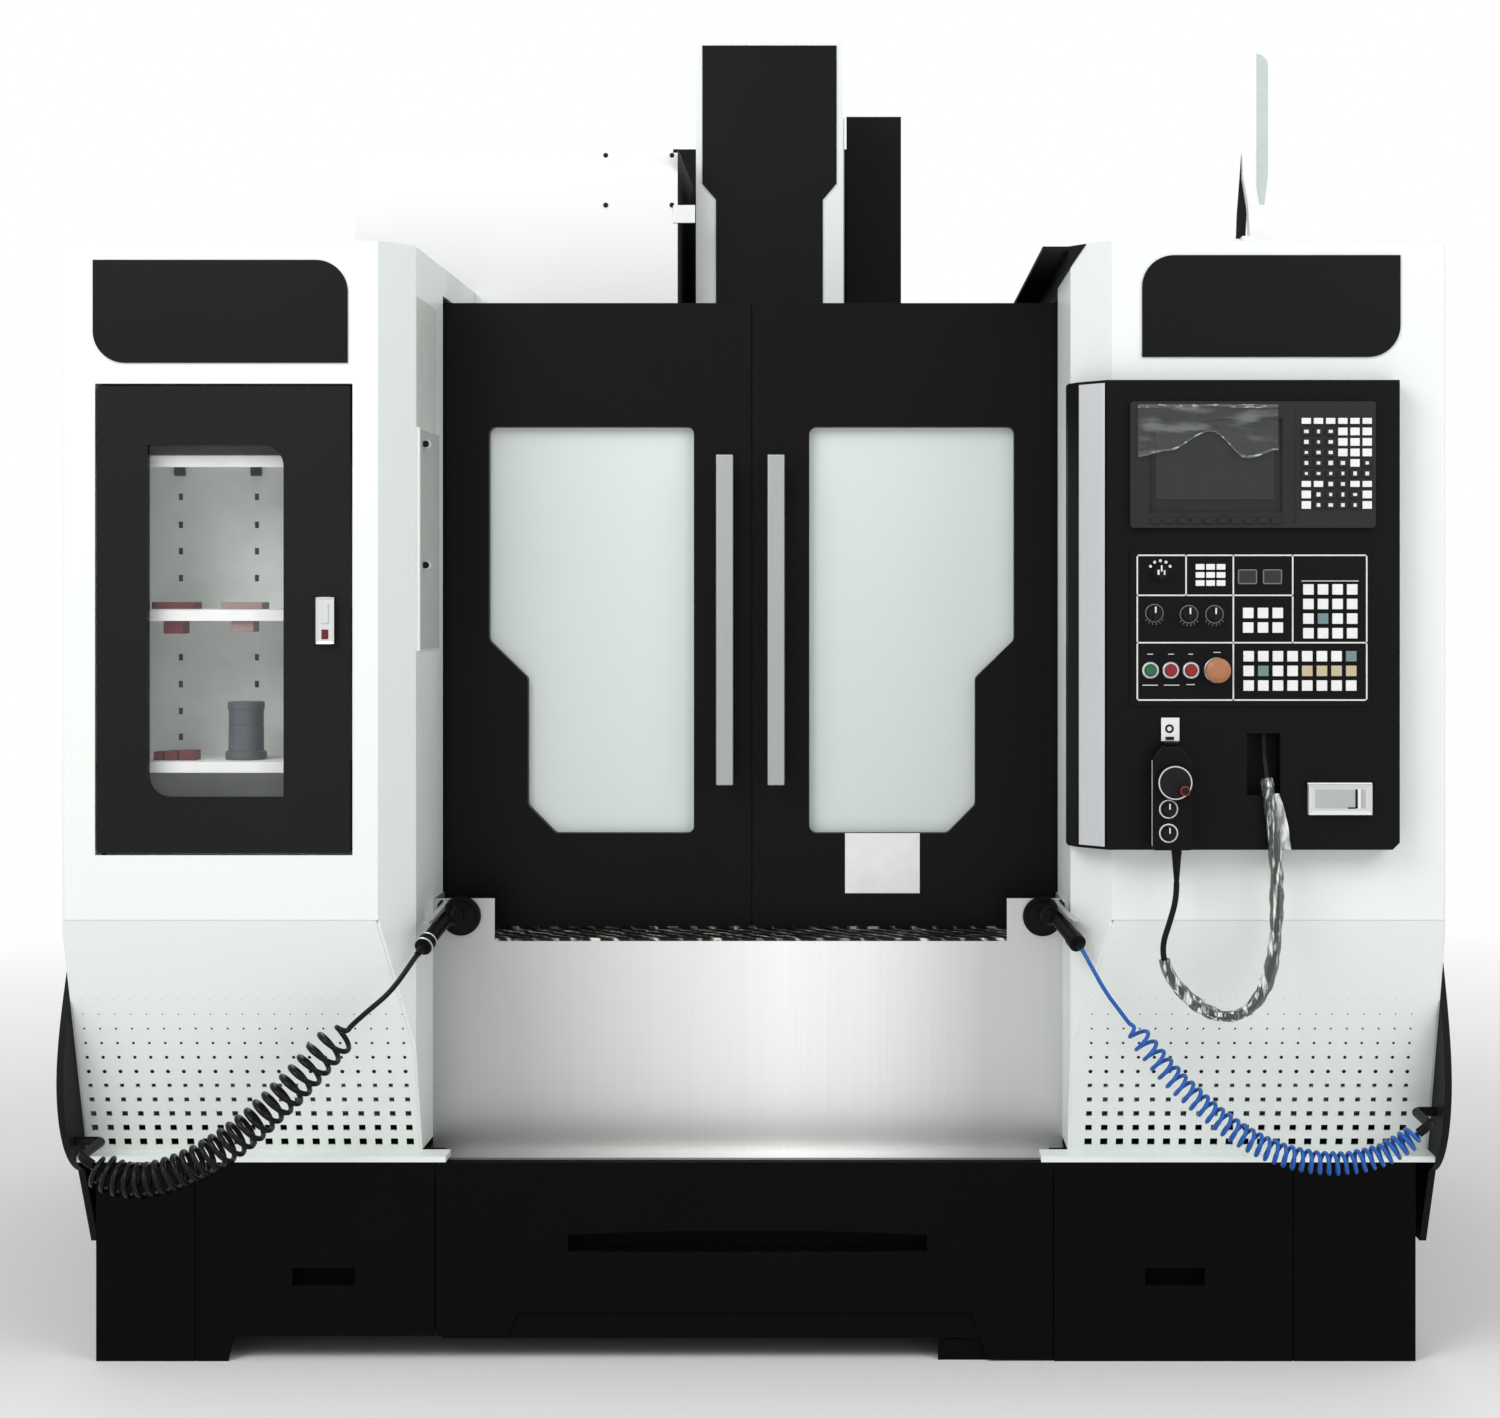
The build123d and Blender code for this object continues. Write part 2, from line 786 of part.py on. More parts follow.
def slope_panel(outer_x, inner_x, cheek_width, first_hole):
    way = 1 if inner_x > outer_x else -1
    x_low, x_high = sorted((outer_x + way * cover_sheet, inner_x - way * cover_sheet))
    lip_low_x, lip_high_x = sorted((outer_x, inner_x + way * lip_reach))
    skin_depth = panel_skin / cos(slope_angle)
    side_plate(
        [
            (cover_front_y, kink_z - flute_gap),
            (cover_front_y + slope_setback, slope_bottom_z),
            (cover_front_y + slope_setback + skin_depth, slope_bottom_z),
            (cover_front_y + skin_depth, kink_z - flute_gap),
        ],
        x_low,
        x_high - x_low,
    )
    # the chamfered wall beside the doorway stands in its inner corner
    rate = cheek_width / cheek_depth
    plan = cabinet_plan(outer_x, inner_x, cheek_width, cover_back_y, cover_sheet + face_gap)
    far = plan[2][0] - way * rate * (cover_sheet + 10)
    plan_plate(
        [
            (far, cover_front_y - 10),
            plan[3],
            (inner_x, plan[3][1]),
            (inner_x, cover_front_y - 10),
        ],
        slope_bottom_z,
        kink_z - slope_bottom_z,
        Mode.SUBTRACT,
    )
    block(
        (lip_low_x, lip_high_x),
        (lip_front_y, cover_front_y + slope_setback + skin_depth),
        (slope_bottom_z - lip_thickness, slope_bottom_z),
    )
    for row in range(hole_rows):
        down = slope_run - hole_edge - row * hole_pitch
        centre = first_hole + way * -1 * hole_pitch * (hole_columns - 1) / 2
        middle = Vector(centre, cover_front_y, kink_z) + slope_down * down
        face = Plane(origin=middle, x_dir=(1, 0, 0), z_dir=slope_out)
        with BuildSketch(face) as hole_row:
            with GridLocations(hole_pitch, 1, hole_columns, 1):
                Rectangle(hole_bottom - row * hole_step, hole_bottom - row * hole_step)
        extrude(hole_row.sketch, amount=panel_skin * 3, both=True, mode=Mode.SUBTRACT)


with BuildPart() as vent_panels:
    slope_panel(-cover_side_x, doorway_left_x, left_cheek_width, left_hole_x)
    slope_panel(cover_side_x, doorway_right_x, right_cheek_width, right_hole_x)
finish(vent_panels, "vent_panels")

# Bare name panels, two corners rounded
name_corner = 54
with BuildPart() as name_panels:
    for box, way in ((left_name_box, 1), (right_name_box, -1)):
        left, right, low, high = box
        bare = outline_face(
            front_plane(cover_front_y), [(left, low), (right, low), (right, high), (left, high)]
        )
        corners = bare.vertices().sort_by(
            lambda corner: way * (corner.X - (left + right) / 2) * (corner.Z - (low + high) / 2)
        )[-2:]
        extrude(bare.faces()[0].fillet_2d(name_corner, corners), amount=name_panel_thickness)
finish(name_panels, "name_panels")

# Store door with its window, latch and shelves
store_window = (-1030, -799, 985, 1583)
store_corner = 36
store_glass = 5
latch_box = (-742, -714, 1245, 1325)
latch_thickness = 10

with BuildPart() as cabinet_door:
    left, right, low, high = store_door
    front = cover_front_y - store_proud
    block((left, right), (front, front + store_thickness), (low, high))
    fillet(cabinet_door.edges().filter_by(Axis.Y), 4)
    window_left, window_right, window_low, window_high = store_window
    with BuildSketch(front_plane(front)):
        with BuildLine():
            Polyline(
                (window_left, window_low + store_corner),
                (window_left, window_high),
                (window_right - store_corner, window_high),
            )
            RadiusArc(
                (window_right - store_corner, window_high),
                (window_right, window_high - store_corner),
                store_corner,
            )
            Polyline(
                (window_right, window_high - store_corner),
                (window_right, window_low),
                (window_left + store_corner, window_low),
            )
            RadiusArc(
                (window_left + store_corner, window_low),
                (window_left, window_low + store_corner),
                store_corner,
            )
        make_face()
    extrude(amount=-store_thickness, mode=Mode.SUBTRACT)
    block(
        (window_left - glass_rebate, window_right + glass_rebate),
        (front + store_thickness - store_glass, front + store_thickness),
        (window_low - glass_rebate, window_high + glass_rebate),
        Mode.SUBTRACT,
    )
    for z_low in (low - store_gap - frame_skin, high - 12):
        upright_pin(
            left + hinge_inset, front + hinge_inset, z_low, hinge_pin_radius,
            12 + store_gap + frame_skin,
        )
    # square hole for the latch spindle
    latch_x = (latch_box[0] + latch_box[1]) / 2
    latch_z = (latch_box[2] + latch_box[3]) / 2
    round_pin(latch_x, latch_z, front, 8 + face_gap, store_thickness, Mode.SUBTRACT)
finish(cabinet_door, "cabinet_door")

with BuildPart() as cabinet_window:
    block(
        (window_left - glass_rebate, window_right + glass_rebate),
        (front + store_thickness - store_glass, front + store_thickness),
        (window_low - glass_rebate, window_high + glass_rebate),
    )
finish(cabinet_window, "cabinet_window")

with BuildPart() as cabinet_latch:
    block(
        (latch_box[0], latch_box[1]),
        (front - face_gap - latch_thickness, front - face_gap),
        (latch_box[2], latch_box[3]),
    )
    fillet(cabinet_latch.edges().filter_by(Axis.Y), 4)
    block(
        (latch_x - 5, latch_x + 5),
        (front - face_gap - latch_thickness, front - face_gap - latch_thickness + 4),
        (latch_z - 24, latch_z + 28),
        Mode.SUBTRACT,
    )
    round_pin(latch_x, latch_z, front - face_gap, 8, store_thickness + 8)
    block(
        (latch_x, latch_x + 34),
        (front + store_thickness + 2, front + store_thickness + 8),
        (latch_z - 9, latch_z + 9),
    )
finish(cabinet_latch, "cabinet_latch")

# Shelves inside the left cabinet, with the boxes and the canister kept there
shelf_z = (884, 1012, 1277)
shelf_thickness = 22
shelf_right_x = -650
with BuildPart() as cabinet_shelves:
    inner_left = -cover_side_x + cover_sheet
    inner_right = doorway_left_x - cover_sheet
    # perforated back wall
    block((inner_left, inner_right), (-880, -877), (shelf_z[0] - shelf_thickness, 1700))
    with BuildSketch(front_plane(-880)):
        for x in (-990, -840):
            with Locations((x, 1290)):
                with GridLocations(1, 46, 1, 13):
                    Rectangle(9, 9)
    extrude(amount=-3, mode=Mode.SUBTRACT)
    for z in shelf_z:
        block((inner_left, shelf_right_x), (-1040, -880), (z - shelf_thickness, z))
    # kept tools
    top_shelf = shelf_z[2]
    low_shelf = shelf_z[1]
    block((-1020, -945), (-1030, -970), (top_shelf, top_shelf + 14))
    block((-905, -835), (-1030, -970), (top_shelf, top_shelf + 14))
    block((-1018, -950), (-1030, -985), (low_shelf, low_shelf + 28))
    upright_pin(-868, -1000, low_shelf, 30, 89)
    upright_pin(-868, -1000, low_shelf + 89, 9, 26)
finish(cabinet_shelves, "cabinet_shelves")

# Apron under the doors, with an ear at each side
apron_front_y = -840
apron_sheet = 4
apron_low_z = 327
apron_top_z = 706
ear_top_z = 783
left_ear_x = -477
right_ear_x = 445
flange_reach = 45

with BuildPart() as front_apron:
    front_plate(
        [
            (doorway_left_x, apron_low_z),
            (doorway_right_x, apron_low_z),
            (doorway_right_x, ear_top_z),
            (right_ear_x, ear_top_z),
            (right_ear_x, apron_top_z),
            (left_ear_x, apron_top_z),
            (left_ear_x, ear_top_z),
            (doorway_left_x, ear_top_z),
        ],
        apron_front_y,
        apron_sheet,
    )
    block(
        (doorway_left_x, doorway_right_x),
        (apron_front_y - flange_reach, apron_front_y + apron_sheet),
        (apron_low_z - apron_sheet, apron_low_z),
    )
    for x in (doorway_left_x, doorway_right_x - apron_sheet):
        block(
            (x, x + apron_sheet),
            (apron_front_y, cover_back_y - 5),
            (apron_low_z - apron_sheet, ear_top_z),
        )
    block(
        (left_ear_x, right_ear_x),
        (apron_front_y, apron_front_y + 30),
        (apron_top_z - apron_sheet, apron_top_z),
    )
finish(front_apron, "front_apron")

# Door tracks: a sill under the doors and a rail behind their top edge
track_left_x = -1150
track_right_x = 1110
sill_thickness = 12
sill_front_y = apron_front_y + apron_sheet
ridge_half = 4
rail_low_z = 1812
rail_top_z = 1858
hanger_depth = 22
door_back_y = door_front_y + door_thickness
liner_front_y = door_back_y + face_gap + hanger_depth
liner_sheet = 3

with BuildPart() as door_tracks:
    door_middle_y = (door_front_y + door_back_y) / 2
    plan_plate(
        [
            (doorway_left_x + apron_sheet, sill_front_y),
            (doorway_right_x - apron_sheet, sill_front_y),
            (doorway_right_x - apron_sheet, cover_back_y),
            (track_right_x, cover_back_y),
            (track_right_x, liner_front_y),
            (track_left_x, liner_front_y),
            (track_left_x, cover_back_y),
            (doorway_left_x + apron_sheet, cover_back_y),
        ],
        apron_top_z,
        sill_thickness - 7,
    )
    block(
        (track_left_x, track_right_x),
        (door_middle_y - ridge_half, door_middle_y + ridge_half),
        (apron_top_z, door_bottom_z - face_gap),
    )
    block(
        (track_left_x, track_right_x),
        (door_back_y + face_gap, liner_front_y),
        (rail_low_z, rail_top_z),
    )
    block(
        (track_left_x - 1, track_right_x + 1),
        (door_back_y + 6, liner_front_y - 6),
        (rail_low_z - 1, rail_low_z + 20),
        Mode.SUBTRACT,
    )
finish(door_tracks, "door_tracks")

# Inner liner: front walls beside the doorway, side walls and sloping floors
liner_side = 940
liner_back_y = 380
liner_floor_z = 640
liner_top_z = 1874
liner_low_z = 500
liner_inner_half = 575

with BuildPart() as chip_guard:
    for side in (-1, 1):
        edge_x = doorway_left_x + 10 if side < 0 else doorway_right_x - 10
        outer = spindle_x + side * liner_side
        inner = spindle_x + side * liner_inner_half
        plan_plate(
            [
                (edge_x, liner_front_y),
                (track_left_x if side < 0 else track_right_x, liner_front_y),
                (track_left_x if side < 0 else track_right_x, liner_front_y + liner_sheet),
                (outer, liner_front_y + liner_sheet),
                (outer, liner_back_y),
                (outer - side * liner_sheet, liner_back_y),
                (outer - side * liner_sheet, liner_front_y + liner_sheet),
                (edge_x, liner_front_y + liner_sheet),
            ],
            liner_floor_z,
            liner_top_z - liner_floor_z,
        )
        with BuildSketch(front_plane(liner_front_y)) as floor_section:
            with BuildLine():
                Polyline(
                    (outer, liner_floor_z + 20),
                    (outer, liner_floor_z),
                    (inner, liner_low_z),
                    (inner, liner_low_z + 4),
                    (outer - side * 4, liner_floor_z + 3),
                    (outer - side * 4, liner_floor_z + 20),
                    close=True,
                )
            make_face()
        extrude(floor_section.sketch, amount=-(liner_back_y - liner_front_y))
    # chip trough ahead of the bed, and the wall below the doors
    block(
        (spindle_x - liner_inner_half, spindle_x + liner_inner_half),
        (liner_front_y, bed_front_y),
        (liner_low_z, liner_low_z + 4),
    )
    block(
        (doorway_left_x + 10, doorway_right_x - 10),
        (liner_front_y, liner_front_y + liner_sheet),
        (liner_low_z, door_bottom_z - 20),
    )
finish(chip_guard, "chip_guard")

# Enclosure behind the covers: side panels with a rounded lower front corner,
# roofs over both bays, and a back wall open round the column
panel_sheet = 3
panel_low_z = 178
panel_bulge_y = -1062
enclosure_front_y = -1000
roof_z = cover_top_z
rim_width = 48
rim_thickness = 7
rim_leg = 3
rim_leg_height = 38

with BuildPart() as rear_enclosure:
    wall = panel_sheet
    side = cover_side_x
    # walls at both sides and behind
    plan_plate(
        [
            (-side, cover_back_y),
            (-side + wall, cover_back_y),
            (-side + wall, rear_y - wall),
            (side - wall, rear_y - wall),
            (side - wall, cover_back_y),
            (side, cover_back_y),
            (side, rear_y),
            (-side, rear_y),
        ],
        base_top_z,
        roof_z - base_top_z,
    )
    # roofs, the left one cut out round the magazine cover
    plan_plate(
        [
            (-side, cover_back_y),
            (doorway_left_x, cover_back_y),
            (doorway_left_x, magazine_front_y - 4),
            (magazine_left_x - 4, magazine_front_y - 4),
            (magazine_left_x - 4, magazine_back_y + 4),
            (doorway_left_x, magazine_back_y + 4),
            (doorway_left_x, rear_y),
            (-side, rear_y),
        ],
        roof_z - cover_sheet,
        cover_sheet,
    )
    plan_plate(
        [
            (doorway_right_x, cover_back_y),
            (side, cover_back_y),
            (side, rear_y),
            (doorway_right_x, rear_y),
        ],
        roof_z - cover_sheet,
        cover_sheet,
    )
    # edges turned down over the doors
    flange_low_z = roof_z - 56
    block(
        (doorway_left_x - cover_sheet, doorway_left_x),
        (cover_back_y, magazine_front_y - 4),
        (flange_low_z, roof_z),
    )
    block(
        (doorway_right_x, doorway_right_x + cover_sheet),
        (cover_back_y, rear_y - wall),
        (flange_low_z, roof_z),
    )
    # dark rim along the top of the right side
    block(
        (doorway_right_x - rim_width, doorway_right_x),
        (cover_front_y + cheek_depth, magazine_front_y + 155),
        (roof_z - rim_thickness, roof_z),
    )
    # its leg down the doorway wall, and the sloping end on the chamfer
    block(
        (doorway_right_x - rim_leg, doorway_right_x - face_gap),
        (cover_front_y + cheek_depth, cover_back_y),
        (roof_z - rim_leg_height, roof_z - rim_thickness / 2),
    )
    cheek_run = Vector(right_cheek_width, -cheek_depth, 0)
    cheek_out = Vector(-cheek_depth, -right_cheek_width, 0).normalized()
    rim_end_plane = Plane(
        origin=Vector(doorway_right_x, cover_front_y + cheek_depth, roof_z)
        + cheek_out * face_gap,
        x_dir=cheek_run,
        z_dir=cheek_out,
    )
    extrude(
        outline_face(rim_end_plane, [(-1.5, 0), (rim_leg_height, 0), (-1.5, -rim_leg_height)]),
        amount=rim_leg - face_gap,
    )
    # black side panels, their lower front corner rounded
    for x in (-panel_side_x, panel_side_x - panel_sheet * 4):
        with BuildSketch(Plane.YZ.offset(x)) as panel_side:
            with BuildLine():
                Polyline(
                    (enclosure_front_y, 700),
                    (enclosure_front_y, cover_top_z - 40),
                    (rear_y, cover_top_z - 40),
                    (rear_y, panel_low_z),
                    (-880, panel_low_z),
                    (-950, 320),
                )
                Spline(
                    (-950, 320),
                    (-1040, 400),
                    (panel_bulge_y, 480),
                    (-1045, 590),
                    (enclosure_front_y, 700),
                )
            make_face()
        extrude(panel_side.sketch, amount=panel_sheet * 4)
finish(rear_enclosure, "rear_enclosure")

# Electrical cabinet on the back wall, with its door
electric_half = 480
electric_low_z = 620
electric_top_z = 1860
electric_depth = 186
electric_wall = 4
electric_door_thickness = 12

with BuildPart() as electrical_cabinet:
    block(
        (-electric_half, electric_half),
        (rear_y, rear_y + electric_depth),
        (electric_low_z, electric_top_z),
    )
    offset(amount=-electric_wall, openings=electrical_cabinet.faces().sort_by(Axis.Y)[-1])
    block(
        (-electric_half + 50, electric_half - 50),
        (rear_y + electric_wall, rear_y + 26),
        (electric_low_z + 50, electric_top_z - 50),
    )
    # drives and contactors in two rows
    with BuildSketch(front_plane(rear_y + 26)) as drive_row:
        with Locations((0, electric_top_z - 330)):
            with GridLocations(190, 1, 4, 1):
                Rectangle(140, 360)
        with Locations((0, electric_low_z + 250)):
            with GridLocations(95, 1, 8, 1):
                Rectangle(70, 110)
    extrude(drive_row.sketch, amount=-110)
finish(electrical_cabinet, "electrical_cabinet")

with BuildPart() as electrical_door:
    door_low = rear_y + electric_depth + face_gap
    block(
        (-electric_half, electric_half),
        (door_low, door_low + electric_door_thickness),
        (electric_low_z, electric_top_z),
    )
    fillet(
        electrical_door.edges().filter_by(Axis.Z).group_by(Axis.Y)[-1],
        4,
    )
    for z in (electric_low_z + 200, electric_top_z - 200):
        upright_pin(-electric_half - 2, door_low + 6, z - 40, 6, 80)
    # recessed pull
    block(
        (electric_half - 70, electric_half - 40),
        (door_low + 5, door_low + electric_door_thickness),
        (1180, 1330),
        Mode.SUBTRACT,
    )
finish(electrical_door, "electrical_door")

# Base skirt: front covers at both sides of the drawer, with hand slots
drawer_left_x = centre_x - drawer_half
drawer_right_x = centre_x + drawer_half
left_slot = (-804, -695)
right_slot = (675, 779)
slot_z = (131, 162)
slot_depth = 30
bay_wall = 4
bay_back_y = -650
shelf_low_z = 318
kick_height = 36

with BuildPart() as base_skirt:
    front_plate(
        [
            (-base_side_x, 0),
            (left_foot_x, 0),
            (left_foot_x + 12, base_raise_z),
            (drawer_left_x - seam_gap, base_raise_z),
            (drawer_left_x - seam_gap, base_top_z),
            (-base_side_x, base_top_z),
        ],
        lip_front_y,
        base_sheet,
    )
    front_plate(
        [
            (drawer_right_x + seam_gap, 0),
            (base_side_x, 0),
            (base_side_x, base_top_z),
            (drawer_right_x + seam_gap, base_top_z),
        ],
        lip_front_y,
        base_sheet,
    )
    # sides and back
    for x in (-base_side_x, base_side_x - base_sheet):
        side_plate(
            [
                (lip_front_y, 0),
                (lip_front_y + 260, 0),
                (lip_front_y + 290, base_raise_z),
                (rear_y - 290, base_raise_z),
                (rear_y - 260, 0),
                (rear_y, 0),
                (rear_y, base_top_z),
                (lip_front_y, base_top_z),
            ],
            x,
            base_sheet,
        )
    block(
        (-base_side_x, base_side_x), (rear_y - base_sheet, rear_y), (base_raise_z, base_top_z)
    )
    # walls of the drawer bay, their top flanges and the shelf over the drawer
    skirt_back_y = lip_front_y + base_sheet
    for side in (-1, 1):
        wall_x = centre_x + side * (drawer_half + seam_gap)
        outer_x = side * base_side_x
        block(
            tuple(sorted((wall_x, wall_x + side * bay_wall))),
            (lip_front_y, bay_back_y),
            (base_raise_z + 6, base_top_z),
        )
        block(
            tuple(sorted((wall_x, outer_x))),
            (lip_front_y, bay_back_y),
            (base_top_z - bay_wall, base_top_z),
        )
        block(
            tuple(sorted((outer_x, side * cover_side_x))),
            (-900, rear_y),
            (base_top_z - bay_wall, base_top_z),
        )
    block(
        (drawer_left_x - seam_gap, drawer_right_x + seam_gap),
        (skirt_back_y + 6, bay_back_y),
        (shelf_low_z, shelf_low_z + bay_wall),
    )
    # room for the apron's lower edge
    block(
        (doorway_left_x - face_gap, doorway_right_x + face_gap),
        (apron_front_y - flange_reach - face_gap, cover_back_y),
        (apron_low_z - apron_sheet - face_gap, base_top_z),
        Mode.SUBTRACT,
    )
    # kick plate behind the right foot of the drawer front
    block(
        (right_foot_x, drawer_right_x + 20),
        (skirt_back_y + 4, skirt_back_y + 8),
        (0, kick_height),
    )
    block(
        (drawer_right_x + seam_gap, drawer_right_x + 20),
        (skirt_back_y, skirt_back_y + 8),
        (0, kick_height),
    )
    # recessed hand slots
    for slot in (left_slot, right_slot):
        block(
            (slot[0] - 4, slot[1] + 4),
            (lip_front_y, skirt_back_y + slot_depth),
            (slot_z[0] - 4, slot_z[1] + 4),
        )
        block(
            slot,
            (lip_front_y - 1, skirt_back_y + slot_depth - 4),
            slot_z,
            Mode.SUBTRACT,
        )
    # seams between the covers
    for side in (-1, 1):
        x = centre_x + side * seam_outer
        block(
            (x - seam_gap / 2, x + seam_gap / 2),
            (lip_front_y - 1, lip_front_y + 2),
            (0, base_top_z),
            Mode.SUBTRACT,
        )
finish(base_skirt, "base_skirt")

# Chip and coolant drawer in the middle of the base
drawer_floor_z = 39
drawer_top_z = 300
drawer_wall = 4
drawer_front_wall = 36
pull_left_x = -326
pull_right_x = 297
pull_z = (190, 219)

with BuildPart() as chip_drawer:
    front_plate(
        [
            (drawer_left_x, base_raise_z),
            (centre_x - notch_half - notch_flare * 0.6, base_raise_z),
            (centre_x - notch_half, notch_top_z),
            (centre_x + notch_half, notch_top_z),
            (centre_x + notch_half + notch_flare, 3),
            (drawer_right_x, 3),
            (drawer_right_x, base_top_z),
            (drawer_left_x, base_top_z),
        ],
        lip_front_y,
        base_sheet,
    )
    tray_x = (drawer_left_x + 10, drawer_right_x - 10)
    block(tray_x, (skirt_back_y, bay_back_y - 6), (drawer_floor_z, drawer_top_z))
    block(
        (tray_x[0] + drawer_wall, tray_x[1] - drawer_wall),
        (skirt_back_y + drawer_front_wall, bay_back_y - 6 - drawer_wall),
        (drawer_floor_z + drawer_wall, drawer_top_z + 1),
        Mode.SUBTRACT,
    )
    block(
        (pull_left_x, pull_right_x),
        (lip_front_y - 1, skirt_back_y + drawer_front_wall - 8),
        pull_z,
        Mode.SUBTRACT,
    )
    with BuildSketch(front_plane(skirt_back_y - base_sheet)) as pull_arch:
        with BuildLine():
            Line((pull_left_x, pull_z[1]), (pull_right_x, pull_z[1]))
            ThreePointArc(
                (pull_left_x, pull_z[1]),
                ((pull_left_x + pull_right_x) / 2, pull_z[1] + 8),
                (pull_right_x, pull_z[1]),
            )
        make_face()
    extrude(pull_arch.sketch, amount=-(base_sheet + drawer_front_wall - 8), mode=Mode.SUBTRACT)
finish(chip_drawer, "chip_drawer")

# Sliding doors with stepped windows and bar handles
window_inner = 106.5
window_outer = 485.5
window_step = 413.5
window_low = 362
window_top_z = 1640
window_step_z = (1246, 1176, 941)
window_bottom_z = 889
window_corner = 13
handle_inner = 31.5
handle_outer = 62.5
handle_z = (981, 1586)
handle_stand = 40
handle_thickness = 10
glass_seat = 8


def window_outline(side, grow=0):
    slant = grow * 0.42
    return [
        (centre_x + side * (window_inner - grow), window_top_z + grow),
        (centre_x + side * (window_outer + grow), window_top_z + grow),
        (centre_x + side * (window_outer + grow), window_step_z[0] - slant),
        (centre_x + side * (window_step + grow), window_step_z[1] - slant),
        (centre_x + side * (window_step + grow), window_step_z[2] - slant),
        (centre_x + side * (window_low + slant), window_bottom_z - grow),
        (centre_x + side * (window_inner - grow), window_bottom_z - grow),
    ]


def door_panel(side):
    inner = centre_x + side * door_half_gap
    outer = centre_x + side * (door_half_gap + door_width)
    block(
        tuple(sorted((inner, outer))),
        (door_front_y, door_back_y),
        (door_bottom_z, door_top_z),
    )
    opening = outline_face(front_plane(door_front_y), window_outline(side))
    extrude(
        opening.faces()[0].fillet_2d(window_corner, opening.vertices()),
        amount=-door_thickness,
        mode=Mode.SUBTRACT,
    )
    extrude(
        outline_face(
            front_plane(door_back_y - glass_seat), window_outline(side, glass_rebate)
        ),
        amount=-glass_seat,
        mode=Mode.SUBTRACT,
    )
    # bar handle on two posts
    handle_x = sorted((centre_x + side * handle_inner, centre_x + side * handle_outer))
    block(
        tuple(handle_x),
        (door_front_y - handle_stand - handle_thickness, door_front_y - handle_stand),
        handle_z,
    )
    for z in (handle_z[0] + 50, handle_z[1] - 50):
        round_pin(sum(handle_x) / 2, z, door_front_y - handle_stand, 9, handle_stand)
    # hangers that run in the rail behind the top edge
    for reach in (0.2, 0.8):
        x = inner + (outer - inner) * reach
        block((x - 30, x + 30), (door_back_y, door_back_y + 13), (rail_low_z - 16, rail_low_z - 4))
        block(
            (x - 30, x + 30),
            (door_back_y + 9, door_back_y + 13),
            (rail_low_z - 4, rail_low_z + 14),
        )


def door_glass(side):
    extrude(
        outline_face(
            front_plane(door_back_y - glass_seat), window_outline(side, glass_rebate)
        ),
        amount=-glass_thickness,
    )


with BuildPart() as left_door:
    door_panel(-1)
finish(left_door, "left_door")
with BuildPart() as left_window:
    door_glass(-1)
finish(left_window, "left_window")
with BuildPart() as right_door:
    door_panel(1)
finish(right_door, "right_door")
with BuildPart() as right_window:
    door_glass(1)
finish(right_window, "right_window")

# Operator panel: housing that wraps the right cheek
console_front_y = -1120
console_left_x = 597
console_right_x = 1088
console_low_z = 900
console_top_z = 1690
console_slant_x = 551
console_edge_x = 537
cable_slot_x = (831, 887)
cable_slot_z = (992, 1096)
cable_slot_depth = 38
port_box = (932, 1040, 959, 1011)
port_thickness = 6
port_ear = 4
port_pin_radius = 1.5
port_pin_reach = 6
strip_thickness = 2

with BuildPart() as operator_panel:
    cheek_front_x = doorway_right_x + right_cheek_width
    plan_plate(
        [
            (console_left_x, console_front_y),
            (console_right_x, console_front_y),
            (console_right_x, cover_front_y),
            (cheek_front_x, cover_front_y),
            (doorway_right_x, cover_front_y + cheek_depth),
            (console_edge_x, cover_front_y + cheek_depth),
            (console_edge_x, cover_front_y + 30),
            (console_slant_x, cover_front_y),
        ],
        console_low_z,
        console_top_z - console_low_z,
    )
    chamfer(
        operator_panel.edges().filter_by(Axis.Y).sort_by(Axis.X)[-2:].sort_by(Axis.Z)[0],
        12,
    )
    block(
        cable_slot_x,
        (console_front_y - 1, console_front_y + cable_slot_depth),
        cable_slot_z,
        Mode.SUBTRACT,
    )
    # silver strip along the slanted side
    slant = Vector(console_left_x - console_slant_x, console_front_y - cover_front_y, 0)
    slant_plane = Plane(
        origin=(
            (console_left_x + console_slant_x) / 2,
            (console_front_y + cover_front_y) / 2,
            (console_low_z + console_top_z) / 2,
        ),
        x_dir=slant,
        z_dir=(slant.Y, -slant.X, 0),
    )
    with BuildSketch(slant_plane) as strip:
        Rectangle(slant.length - 8, console_top_z - console_low_z - 8)
    extrude(strip.sketch, amount=strip_thickness)
    # ears and pins of the port cover's hinge
    for side in (-1, 1):
        edge = port_box[1] if side > 0 else port_box[0]
        ear_x = sorted((edge + side * face_gap, edge + side * (face_gap + port_ear)))
        port_axis = (console_front_y - face_gap - port_thickness / 2, port_box[3])
        block(
            tuple(ear_x),
            (port_axis[0], console_front_y),
            (port_axis[1] - port_thickness / 2, port_axis[1] + port_thickness / 2),
        )
        cross_pin(*port_axis, ear_x[0], port_thickness / 2, port_ear)
        pin_reach = port_ear + face_gap + port_pin_reach
        pin_x = ear_x[0] if side < 0 else ear_x[1] - pin_reach
        cross_pin(*port_axis, pin_x, port_pin_radius, pin_reach)
    # hook for the pendant
    block((690, 713), (console_front_y - 4, console_front_y), (1078, 1122))
    block((690, 713), (console_front_y - 26, console_front_y - 4), (1078, 1082))
finish(operator_panel, "operator_panel")

# Display unit with its screen, soft keys and keyboard
display_box = (634, 1045, 1441, 1653)
display_thickness = 12
screen_box = (664, 890, 1466, 1625)
screen_depth = 4
keyboard_x = (918, 1040)
key_stand = 3

